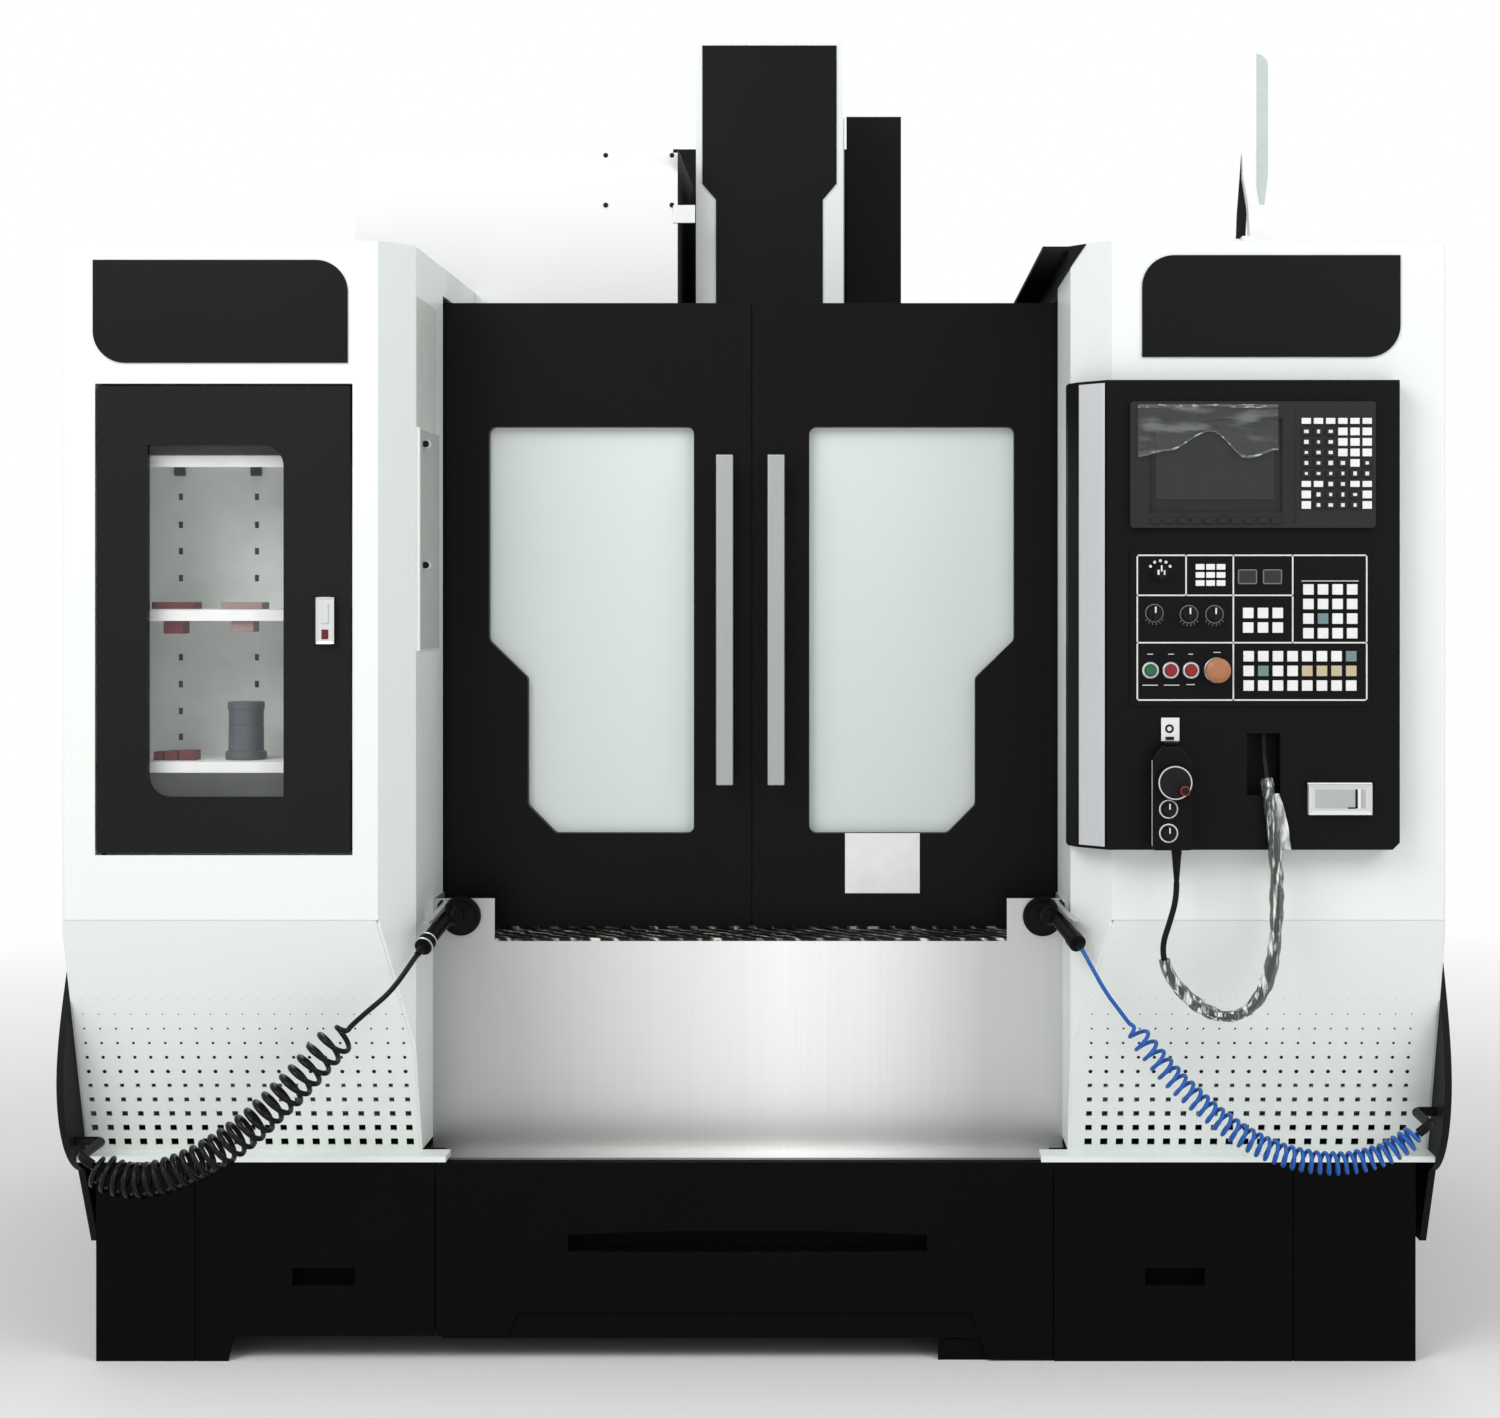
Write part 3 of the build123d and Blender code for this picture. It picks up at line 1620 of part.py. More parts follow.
with BuildPart() as display_unit:
    left, right, low, high = display_box
    block(
        (left, right), (console_front_y - display_thickness, console_front_y), (low, high)
    )
    fillet(
        display_unit.edges().filter_by(Axis.Y),
        6,
    )
    block(
        (screen_box[0], screen_box[1]),
        (console_front_y - display_thickness - 1, console_front_y - display_thickness + screen_depth),
        (screen_box[2], screen_box[3]),
        Mode.SUBTRACT,
    )
    with BuildSketch(front_plane(console_front_y - display_thickness)) as keys:
        with Locations((sum(keyboard_x) / 2, (1473 + 1626) / 2)):
            with GridLocations(20.4, 17.6, 6, 9):
                Rectangle(14.5, 12)
        with Locations(((screen_box[0] + screen_box[1]) / 2, 1453)):
            with GridLocations(22.5, 1, 10, 1):
                Rectangle(15, 9)
    extrude(keys.sketch, amount=key_stand)
finish(display_unit, "display_unit")

# Control plate with its fixed keys, windows and button collars
control_box = (634, 1038, 1142, 1404)
control_thickness = 3
control_front_y = console_front_y - control_thickness
button_z = 1202
button_x = {"start_button": 668, "hold_button": 702, "reset_button": 736}
button_radius = 9.5
collar_radius = 13.5
collar_height = 7
stop_x = 780
stop_radius = 21
knob_places = {
    "mode_knob": (685, 1367),
    "feed_knob": (675, 1298),
    "rapid_knob": (733, 1296),
    "speed_knob": (776, 1296),
}
knob_radius = 11
knob_height = 14

with BuildPart() as control_plate:
    left, right, low, high = control_box
    block((left, right), (control_front_y, console_front_y), (low, high))
    with BuildSketch(front_plane(control_front_y)) as small_keys:
        with Locations((769, 1362)):
            with GridLocations(17.6, 13.6, 3, 3):
                Rectangle(14, 9)
        with Locations((970, 1301)):
            with GridLocations(24.5, 24.5, 4, 4):
                Rectangle(17, 17)
        with Locations((857, 1286)):
            with GridLocations(24.8, 24.5, 3, 2):
                Rectangle(17, 17)
        with Locations((919, 1201)):
            with GridLocations(24.6, 24.6, 8, 3):
                Rectangle(17, 17)
    extrude(small_keys.sketch, amount=key_stand)
    with BuildSketch(front_plane(control_front_y)) as meters:
        with Locations((852, 1359)):
            with GridLocations(42, 1, 2, 1):
                Rectangle(31, 24)
    extrude(meters.sketch, amount=2)
    for x in button_x.values():
        round_pin(x, button_z, control_front_y - collar_height, collar_radius, collar_height)
        round_pin(
            x, button_z, control_front_y - collar_height, button_radius + face_gap,
            collar_height, Mode.SUBTRACT,
        )
    round_pin(stop_x, button_z, control_front_y - collar_height, 17, collar_height)
    round_pin(
        stop_x, button_z, control_front_y - collar_height, 8 + face_gap, collar_height,
        Mode.SUBTRACT,
    )
finish(control_plate, "control_plate")

button_travel = 4
stop_travel = 5
for name, x in button_x.items():
    with BuildPart() as button:
        back = control_front_y - button_travel - 0.5
        round_pin(x, button_z, back - 9, button_radius, 9)
        fillet(button.edges().group_by(Axis.Y)[0], 1.5)
    finish(button, name)

with BuildPart() as emergency_stop:
    head_back = control_front_y - collar_height - stop_travel - 1
    with BuildSketch(Plane.XY) as stop_section:
        with BuildLine():
            Polyline(
                (0, -14),
                (13, -13),
                (stop_radius - 1, -8),
                (stop_radius, -5),
                (stop_radius - 2, 0),
                (8, 0),
                (8, stop_travel + 3),
                (0, stop_travel + 3),
                close=True,
            )
        make_face()
    revolve(axis=Axis.Y)
emergency_stop.part.locate(Location((stop_x, head_back, button_z)))
finish(emergency_stop, "emergency_stop")

for name, (x, z) in knob_places.items():
    with BuildPart() as knob:
        back = control_front_y - face_gap
        round_pin(x, z, back - 4, knob_radius + 2, 4)
        round_pin(x, z, back - knob_height, knob_radius - 1, knob_height - 4)
        block((x - 2.5, x + 2.5), (back - knob_height - 4, back - 4), (z - knob_radius, z + knob_radius))
    finish(knob, name)

# Flip cover of the data port, turning on two pins at its upper edge
with BuildPart() as port_latch:
    left, right, low, high = port_box
    block(
        (left, right),
        (console_front_y - face_gap - port_thickness, console_front_y - face_gap),
        (low, high),
    )
    fillet(port_latch.edges().filter_by(Axis.Y).group_by(Axis.Z)[0], 4)
    cross_pin(*port_axis, left, port_thickness / 2, right - left)
    for pin_x in (left, right - port_pin_reach - face_gap):
        cross_pin(
            *port_axis, pin_x, port_pin_radius + face_gap, port_pin_reach + face_gap, Mode.SUBTRACT
        )
    block(
        (right - 26, right - 18),
        (console_front_y - face_gap - port_thickness - 4, console_front_y - face_gap - port_thickness),
        (low + 14, high - 14),
    )
finish(port_latch, "port_latch")

# Hand-held pendant on its hook, with a hand wheel and two selectors
pendant_x = (668, 735)
pendant_z = (903, 1076)
pendant_back_y = console_front_y
pendant_depth = 40
pendant_front_y = pendant_back_y - pendant_depth
wheel_place = (703, 1017)
wheel_radius = 29
axis_place = (694, 972)
rate_place = (694, 932)
selector_radius = 13
relief_x = 710

with BuildPart() as pendant:
    with BuildSketch(front_plane(pendant_back_y)) as pendant_face:
        with BuildLine():
            Polyline(
                (pendant_x[0], pendant_z[0]),
                (pendant_x[1], pendant_z[0]),
                (pendant_x[1], pendant_z[1] - 26),
                (pendant_x[1] - 18, pendant_z[1]),
                (pendant_x[0] + 14, pendant_z[1]),
                (pendant_x[0], pendant_z[1] - 20),
                close=True,
            )
        make_face()
    extrude(pendant_face.sketch, amount=pendant_depth)
    fillet(pendant.edges().filter_by(Axis.Y), 6)
    fillet(pendant.edges().group_by(Axis.Y)[0], 3)
    # tapered strain relief below
    with BuildSketch(Plane.XY.offset(pendant_z[0])) as relief_top:
        with Locations((relief_x, pendant_front_y + 20)):
            Circle(9)
    extrude(relief_top.sketch, amount=-55, taper=5)
finish(pendant, "pendant")

with BuildPart() as handwheel:
    back = pendant_front_y - face_gap
    round_pin(wheel_place[0], wheel_place[1], back - 8, wheel_radius - 5, 8)
    round_pin(wheel_place[0], wheel_place[1], back - 18, wheel_radius, 10)
    fillet(handwheel.edges().group_by(Axis.Y)[0], 3)
    round_pin(wheel_place[0] + 14, wheel_place[1] - 12, back - 38, 6, 20)
finish(handwheel, "handwheel")

for name, (x, z) in {"axis_knob": axis_place, "rate_knob": rate_place}.items():
    with BuildPart() as selector:
        back = pendant_front_y - face_gap
        round_pin(x, z, back - 4, selector_radius, 4)
        round_pin(x, z, back - 16, selector_radius - 4, 12)
        block((x - 2.5, x + 2.5), (back - 18, back - 4), (z - selector_radius + 1, z + selector_radius - 1))
    finish(selector, name)

# Signal lamp on the right cover: a flat blade on a short foot
lamp_x = 858
lamp_y = -1035
lamp_half = 21
lamp_thickness = 26
lamp_neck_z = 62
lamp_top_z = 2261

with BuildPart() as signal_lamp:
    block(
        (lamp_x - 24, lamp_x + 24), (lamp_y - 20, lamp_y + 20), (cover_top_z, cover_top_z + 10)
    )
    with BuildSketch(front_plane(lamp_y - lamp_thickness / 2)) as blade:
        with BuildLine():
            Polyline(
                (lamp_x - 10, cover_top_z + 10),
                (lamp_x + 12, cover_top_z + 10),
                (lamp_x + 15, cover_top_z + lamp_neck_z),
                (lamp_x + lamp_half, cover_top_z + lamp_neck_z + 50),
                (lamp_x + lamp_half, lamp_top_z - lamp_half),
            )
            ThreePointArc(
                (lamp_x + lamp_half, lamp_top_z - lamp_half),
                (lamp_x, lamp_top_z),
                (lamp_x - lamp_half, lamp_top_z - lamp_half),
            )
            Polyline(
                (lamp_x - lamp_half, lamp_top_z - lamp_half),
                (lamp_x - lamp_half, cover_top_z + lamp_neck_z + 50),
                (lamp_x - 13, cover_top_z + lamp_neck_z),
                (lamp_x - 10, cover_top_z + 10),
            )
        make_face()
    extrude(blade.sketch, amount=-lamp_thickness)
finish(signal_lamp, "signal_lamp")

# Gun holders on the apron's ears, and the hose elbows at the outer corners
rosette_radius = 35.5
rosette_thickness = 16
rosette_step = 6
left_rosette = (-537, 752)
right_rosette = (509, 751)
nozzle_radius = 7
nozzle_depth = 10
air_gun_head = Vector(-541, -955, 768)
air_gun_end = Vector(-566, -1055, 727)
coolant_gun_head = Vector(520, -975, 771)
coolant_gun_end = Vector(551, -1070, 735)
elbow_radius = 8

# Hose routes, chosen by hand: leads from the guns, then the curled stretches
air_lead_route = [
    tuple(air_gun_end),
    tuple(air_gun_end + (air_gun_end - air_gun_head).normalized() * 25),
    (-584, -1094, 698),
    (-600, -1104, 674),
    (-618, -1110, 653),
    (-637, -1114, 637),
    (-657.28, -1115, 619.84),
    (-678, -1115, 601),
]
air_coil_route = [
    (-678, -1115, 601),
    (-711, -1115, 571),
    (-762, -1116, 512),
    (-812, -1117, 462),
    (-871, -1117, 411),
    (-939, -1116, 369),
    (-1014, -1115, 341),
    (-1076, -1114, 344),
    (-1112, -1113, 369),
]
coolant_lead_route = [
    tuple(coolant_gun_end),
    tuple(coolant_gun_end + (coolant_gun_end - coolant_gun_head).normalized() * 20),
    (566, -1099, 711),
    (577, -1105, 691),
    (589, -1108, 669),
    (602, -1107, 649),
    (618.2, -1105, 627.8),
    (635, -1105, 605),
]
coolant_coil_route = [
    (635, -1105, 605),
    (685.2, -1105, 536.9),
    (753, -1106, 470),
    (829, -1107, 411),
    (904, -1107, 378),
    (988, -1106, 366),
    (1073, -1105, 383),
    (1123, -1104, 420),
]
pendant_route = [
    (710, -1140, 848),
    (710, -1140, 822),
    (699, -1142, 783),
    (685, -1143, 742),
    (692, -1142, 702),
    (716, -1141, 667),
    (752, -1140, 636),
    (792, -1139, 620),
    (828, -1138, 630),
    (855, -1137, 662),
    (870, -1136, 705),
    (877, -1136, 760),
    (879, -1136, 825),
    (876, -1137, 890),
    (871, -1138, 945),
    (866, -1135, 987),
    (863, -1122, 1026),
    (861, -1108, 1063),
    (861, -1108, 1096),
]
air_hose_radius = 4.5
air_coil_radius = 33
coolant_hose_radius = 3.5
coolant_coil_radius = 22
pendant_cable_radius = 5


def corner_radii(points):
    radii = []
    for before, corner, after in zip(points, points[1:], points[2:]):
        first = Vector(corner) - Vector(before)
        second = Vector(after) - Vector(corner)
        turn = radians(first.get_angle(second))
        radii.append(0.45 * min(first.length, second.length) / tan(turn / 2))
    return radii


def hose(points, radius, name):
    radii = corner_radii(points)
    print(name, "bend radii", [round(value) for value in radii])
    with BuildPart() as tube:
        with BuildLine() as route:
            FilletPolyline(*points, radius=radii)
        start = Vector(points[0])
        with BuildSketch(Plane(origin=start, z_dir=Vector(points[1]) - start)):
            Circle(radius)
        sweep(path=route.wires()[0])
    run = route.wires()[0].length
    share = tube.part.volume / (pi * radius**2 * run)
    print(name, "length", round(run), "volume share", round(share, 4))
    finish(tube, name)


def straight_pin(start, end, radius, mode=Mode.ADD):
    run = end - start
    with BuildSketch(Plane(origin=start, z_dir=run)) as section:
        Circle(radius)
    extrude(section.sketch, amount=run.length, mode=mode)


def elbow(start, towards, panel_x):
    # from the curl's end, back beside the cover and out to the side panel
    corner = Vector(start) + towards.normalized() * 24
    behind = Vector(corner.X, -1000, corner.Z)
    seat = Vector(panel_x, -1000, corner.Z)
    with BuildLine() as bend:
        FilletPolyline(start, tuple(corner), tuple(behind), tuple(seat), radius=12)
    with BuildSketch(Plane(origin=start, z_dir=towards)) as bore:
        Circle(elbow_radius)
    sweep(bore.sketch, path=bend.line)


with BuildPart() as hose_mounts:
    for place, head in ((left_rosette, air_gun_head), (right_rosette, coolant_gun_head)):
        x, z = place
        round_pin(x, z, apron_front_y - rosette_step, rosette_radius, rosette_step)
        round_pin(
            x, z, apron_front_y - rosette_thickness, rosette_radius - 9,
            rosette_thickness - rosette_step,
        )
        seat = Vector(x, apron_front_y - rosette_thickness + nozzle_depth, z)
        straight_pin(seat, head, nozzle_radius + face_gap, Mode.SUBTRACT)
    for route, panel_x in (
        (air_coil_route, -cover_side_x),
        (coolant_coil_route, cover_side_x),
    ):
        elbow(route[-1], Vector(route[-1]) - Vector(route[-2]), panel_x)
finish(hose_mounts, "hose_mounts")

# Blow gun and coolant gun: nozzle, head, grip, nut and a lever on a pin
gun_head_radius = 17
grip_gun_radius = 13
nut_radius = 15
nut_length = 20
lever_width = 10
pivot_along = 6
pivot_out = 23
pivot_radius = 2.5
ear_width = 4


def gun_plane(head, end):
    along = (end - head).normalized()
    out = (Vector(0, 0, 1) - along * along.Z).normalized()
    return Plane(origin=head, x_dir=along, z_dir=along.cross(out))


def gun_body(place, head, end):
    seat = Vector(place[0], apron_front_y - rosette_thickness + nozzle_depth, place[1])
    along = (end - head).normalized()
    barrel = (head - seat).normalized()
    tip = seat + barrel * face_gap
    straight_pin(tip, head, nozzle_radius)
    straight_pin(seat + barrel * 45, head, 12)
    side = gun_plane(head, end)
    with BuildSketch(side.offset(-gun_head_radius)) as valve:
        Circle(gun_head_radius)
    extrude(valve.sketch, amount=2 * gun_head_radius)
    straight_pin(head, end - along * nut_length, grip_gun_radius)
    straight_pin(end - along * nut_length, end, nut_radius)
    for way in (-1, 1):
        inner = way * (lever_width / 2 + face_gap)
        offset_plane = side.offset(inner if way > 0 else inner - ear_width)
        with BuildSketch(offset_plane) as ear:
            with BuildLine():
                Polyline((-7, 5), (21, 5), (14, 29), (-2, 29), close=True)
            make_face()
        extrude(ear.sketch, amount=ear_width)
    with BuildSketch(side.offset(-lever_width / 2 - 2)) as pivot:
        with Locations((pivot_along, pivot_out)):
            Circle(pivot_radius)
    extrude(pivot.sketch, amount=lever_width + 4)


def gun_lever(head, end):
    side = gun_plane(head, end)
    with BuildSketch(side.offset(-lever_width / 2)) as lever:
        with BuildLine():
            Polyline(
                (0, 19.5), (14, 19), (74, 25), (88, 33), (80, 33), (70, 30), (12, 27), (0, 27),
                close=True,
            )
        make_face()
        with Locations((pivot_along, pivot_out)):
            Circle(pivot_radius + face_gap, mode=Mode.SUBTRACT)
    extrude(lever.sketch, amount=lever_width)


with BuildPart() as air_gun:
    gun_body(left_rosette, air_gun_head, air_gun_end)
finish(air_gun, "air_gun")
with BuildPart() as coolant_gun:
    gun_body(right_rosette, coolant_gun_head, coolant_gun_end)
finish(coolant_gun, "coolant_gun")
with BuildPart() as air_trigger:
    gun_lever(air_gun_head, air_gun_end)
finish(air_trigger, "air_trigger")
with BuildPart() as coolant_trigger:
    gun_lever(coolant_gun_head, coolant_gun_end)
finish(coolant_trigger, "coolant_trigger")
for head, end in ((air_gun_head, air_gun_end), (coolant_gun_head, coolant_gun_end)):
    side = gun_plane(head, end)
    pivot = side.from_local_coords(Vector(pivot_along, pivot_out, 0))
    print("lever pivot", pivot, "axis", side.z_dir)

# Hoses and the pendant's cable
hose(air_lead_route, air_hose_radius, "air_hose_lead")
hose(air_coil_route, air_coil_radius, "air_hose_coil")
hose(coolant_lead_route, coolant_hose_radius, "coolant_hose_lead")
hose(coolant_coil_route, coolant_coil_radius, "coolant_hose_coil")
hose(pendant_route, pendant_cable_radius, "pendant_cable")
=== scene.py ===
import math
import random

import bmesh
import bpy
from mathutils import Matrix, Vector


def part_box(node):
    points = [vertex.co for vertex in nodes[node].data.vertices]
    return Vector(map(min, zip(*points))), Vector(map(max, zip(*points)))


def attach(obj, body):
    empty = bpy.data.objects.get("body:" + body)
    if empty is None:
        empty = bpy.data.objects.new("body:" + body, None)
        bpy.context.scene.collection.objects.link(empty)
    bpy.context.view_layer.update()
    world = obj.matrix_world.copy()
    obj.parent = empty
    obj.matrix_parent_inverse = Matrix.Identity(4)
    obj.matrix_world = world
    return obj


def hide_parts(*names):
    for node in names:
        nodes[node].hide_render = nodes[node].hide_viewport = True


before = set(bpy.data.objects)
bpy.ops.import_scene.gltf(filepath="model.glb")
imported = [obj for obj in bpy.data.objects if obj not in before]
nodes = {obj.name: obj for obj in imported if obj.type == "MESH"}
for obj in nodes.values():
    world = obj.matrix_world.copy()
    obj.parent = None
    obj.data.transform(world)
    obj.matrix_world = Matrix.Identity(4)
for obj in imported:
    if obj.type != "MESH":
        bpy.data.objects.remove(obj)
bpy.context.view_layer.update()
machineBody = "machine"
print("frame loaded:", len(nodes), "nodes")


# Camera, sized for the photograph of 1500 by 1418 pixels
shot = {
    "place": (0.1806, -5.075, 1.32),
    "focalPixels": 2353,
    "axisPixel": (860, 600),  # where straight ahead falls in the photograph
    "size": (1500, 1418),
    "sensor": 36,
}


def makeCamera(settings):
    data = bpy.data.cameras.new("camera")
    wide, high = settings["size"]
    data.sensor_width = settings["sensor"]
    data.lens = settings["sensor"] * settings["focalPixels"] / wide
    data.shift_x = (wide / 2 - settings["axisPixel"][0]) / wide
    data.shift_y = (settings["axisPixel"][1] - high / 2) / wide
    camera = bpy.data.objects.new("camera", data)
    camera.location = settings["place"]
    camera.rotation_euler = (math.radians(90), 0, 0)
    bpy.context.scene.collection.objects.link(camera)
    bpy.context.scene.camera = camera


makeCamera(shot)
bpy.context.scene.view_settings.view_transform = "Standard"
print("camera set")


# Shader maths on sockets
class Signal:
    def __init__(self, graph, socket):
        self.graph = graph
        self.socket = socket

    def maths(self, operation, first, second):
        return self.graph.node("ShaderNodeMath", {"operation": operation}, {0: first, 1: second})

    def __add__(self, other):
        return self.maths("ADD", self, other)

    def __sub__(self, other):
        return self.maths("SUBTRACT", self, other)

    def __rsub__(self, other):
        return self.maths("SUBTRACT", other, self)

    def __mul__(self, other):
        return self.maths("MULTIPLY", self, other)

    def __gt__(self, other):
        return self.maths("GREATER_THAN", self, other)

    def __lt__(self, other):
        return self.maths("LESS_THAN", self, other)

    __radd__ = __add__
    __rmul__ = __mul__


class Graph:
    def __init__(self, name):
        self.material = bpy.data.materials.new(name)
        self.material.use_nodes = True
        self.tree = self.material.node_tree
        self.tree.nodes.clear()
        self.end = self.tree.nodes.new("ShaderNodeOutputMaterial")
        self.place = self.node("ShaderNodeTexCoord", output="Object")

    def node(self, kind, settings=None, inputs=None, output=0):
        made = self.tree.nodes.new(kind)
        for key, value in (settings or {}).items():
            if key == "stops":
                self.setStops(made.color_ramp, value)
            else:
                setattr(made, key, value)
        for key, value in (inputs or {}).items():
            if isinstance(value, Signal):
                self.tree.links.new(value.socket, made.inputs[key])
            else:
                made.inputs[key].default_value = value
        return Signal(self, made.outputs[output])

    def setStops(self, ramp, stops):
        while len(ramp.elements) < len(stops):
            ramp.elements.new(1)
        for element, (position, colour) in zip(ramp.elements, stops):
            element.position = position
            element.color = (*colour, 1)

    def stretched(self, scale):
        return self.node("ShaderNodeMapping", inputs={"Vector": self.place, "Scale": scale})

    def axis(self, letter):
        return self.node("ShaderNodeSeparateXYZ", inputs={0: self.place}, output=letter)

    def noise(self, scale, detail=2, vector=None):
        inputs = {"Vector": vector or self.place, "Scale": scale, "Detail": detail}
        return self.node("ShaderNodeTexNoise", inputs=inputs)

    def blend(self, factor, first, second):
        inputs = {0: factor, 6: (*first, 1) if isinstance(first, tuple) else first}
        inputs[7] = (*second, 1) if isinstance(second, tuple) else second
        return self.node("ShaderNodeMix", {"data_type": "RGBA"}, inputs, 2)

    def bump(self, height, strength, distance=0.001):
        inputs = {"Height": height, "Strength": strength, "Distance": distance}
        return self.node("ShaderNodeBump", inputs=inputs)

    def surface(self, **sockets):
        named = {key.replace("_", " "): value for key, value in sockets.items()}
        for key, value in named.items():
            if isinstance(value, tuple) and len(value) == 3:
                named[key] = (*value, 1)
        shader = self.node("ShaderNodeBsdfPrincipled", inputs=named)
        self.tree.links.new(shader.socket, self.end.inputs["Surface"])
        return self.material


# Finishes
def coverPaint(name, dull, fresh):
    # pale powder coat, faintly green, with a fine orange peel
    made = Graph(name)
    cloud = made.noise(1.6, 3)
    colour = made.blend(cloud, dull, fresh)
    peel = made.noise(420, 2)
    return made.surface(
        Base_Color=colour,
        Roughness=0.34 + 0.12 * made.noise(7, 3),
        Normal=made.bump(peel, 0.05, 0.0004),
        Coat_Weight=0.12,
        Coat_Roughness=0.15,
    )


def satinBlack(name, tone, rough, specular):
    made = Graph(name)
    cloud = made.noise(3, 3)
    darker = tuple(value * 0.7 for value in tone)
    colour = made.blend(cloud, darker, tone)
    peel = made.noise(650, 2)
    return made.surface(
        Base_Color=colour,
        Roughness=rough + 0.1 * made.noise(9, 4),
        Normal=made.bump(peel, 0.06, 0.0003),
        Specular_IOR_Level=specular,
    )


def grainedSteel(name, tone, low, high, along="X", rough=0.3):
    # brushed along one axis, with broad paler and darker bands
    made = Graph(name)
    scale = {"X": (2, 260, 260), "Y": (260, 2, 260), "Z": (260, 260, 2)}[along]
    grain = made.noise(3, 4, made.stretched(scale))
    broad = made.noise(1.1, 1)
    mixed = 0.45 * grain + 0.55 * broad
    shades = [tuple(value * level for value in tone) for level in (low, high)]
    return made.surface(
        Base_Color=made.blend(mixed, *shades),
        Metallic=1.0,
        Roughness=rough + 0.16 * grain,
        Normal=made.bump(grain, 0.12, 0.0003),
    )


def apronSteel():
    # brushed stainless sheet with fine upright grain; the bright band right of the middle and the
    # darker ends are a painted reflection
    made = Graph("apronSteel")
    across = made.axis("X")
    # painted reflection across the sheet: darker at the left, brightest right of the middle
    paintedReflectionBand = made.node(
        "ShaderNodeValToRGB",
        {"stops": [
            (0.0, (0.41, 0.42, 0.41)), (0.14, (0.49, 0.50, 0.49)), (0.34, (0.76, 0.77, 0.75)),
            (0.55, (1.0, 1.0, 0.98)), (0.68, (0.92, 0.92, 0.91)), (0.86, (0.60, 0.61, 0.61)),
            (1.0, (0.61, 0.62, 0.61)),
        ]},
        {0: (across + 0.6) * 0.855},
    )
    grain = made.noise(2, 5, made.stretched((180, 180, 1.2)))
    brushed = made.blend(0.16 * grain, paintedReflectionBand, (0.36, 0.37, 0.37))
    return made.surface(
        Base_Color=brushed,
        Metallic=0.75,
        Roughness=0.34 + 0.14 * grain,
        Normal=made.bump(grain, 0.1, 0.0002),
    )


def castPaint():
    made = Graph("castPaint")
    rough = made.noise(260, 4)
    colour = made.blend(made.noise(4, 3), (0.10, 0.11, 0.115), (0.17, 0.18, 0.185))
    return made.surface(
        Base_Color=colour,
        Roughness=0.55 + 0.15 * rough,
        Normal=made.bump(rough, 0.25, 0.0008),
    )


def moulded(name, tone, rough=0.45, grain=900, specular=0.35):
    made = Graph(name)
    cloud = made.noise(30, 3)
    darker = tuple(value * 0.82 for value in tone)
    texture = made.noise(grain, 2)
    return made.surface(
        Base_Color=made.blend(cloud, darker, tone),
        Roughness=rough + 0.12 * texture,
        Normal=made.bump(texture, 0.08, 0.0002),
        Specular_IOR_Level=specular,
    )


def frostedPane():
    # safety glass behind a milky film: pale blue grey, painted a little brighter at the top as
    # light from above
    made = Graph("frostedPane")
    height = made.axis("Z")
    cloud = made.noise(2.2, 2)
    # painted light: paler towards the top, with a random cloud
    paintedTopLightAndCloud = (height - 0.9) * 1.3 + 0.25 * cloud
    colour = made.blend(paintedTopLightAndCloud, (0.645, 0.705, 0.695), (0.70, 0.76, 0.75))
    return made.surface(
        Base_Color=colour,
        Roughness=0.28 + 0.1 * cloud,
        Coat_Weight=0.6,
        Coat_Roughness=0.05,
    )


def clearPane():
    made = Graph("clearPane")
    smear = made.noise(9, 3)
    return made.surface(
        Base_Color=(0.75, 0.8, 0.8),
        Alpha=0.01 + 0.03 * smear,
        Roughness=0.04 + 0.05 * smear,
        Specular_IOR_Level=0.12,
    )


def hoseSkin(name, tone, rough, coat, specular):
    made = Graph(name)
    speckle = made.noise(180, 3)
    darker = tuple(value * 0.75 for value in tone)
    return made.surface(
        Base_Color=made.blend(speckle, darker, tone),
        Roughness=rough + 0.1 * speckle,
        Normal=made.bump(speckle, 0.08, 0.0003),
        Specular_IOR_Level=specular,
        Coat_Weight=coat,
        Coat_Roughness=0.15,
    )


def wrinkledFilm(name, scale, stretch, alphas, dull, pale, highlightBounds=(0.52, 0.68), depth=0.9):
    # clear film, a grey veil with a few bright streaks along its creases that are painted
    # highlights
    made = Graph(name)
    crease = made.noise(scale, 3, made.stretched(stretch))
    stops = [(highlightBounds[0], (0, 0, 0)), (highlightBounds[1], (1, 1, 1))]
    # painted highlights: pale colour and thicker film where the crease noise is high
    paintedHighlight = made.node("ShaderNodeValToRGB", {"stops": stops}, {0: crease})
    thin, thick = alphas
    return made.surface(
        Base_Color=made.blend(paintedHighlight, dull, pale),
        Alpha=thin + (thick - thin) * paintedHighlight,
        Roughness=0.2 + 0.2 * crease,
        Normal=made.bump(crease, depth, 0.003),
        Specular_IOR_Level=0.3,
        Coat_Weight=0.25,
    )


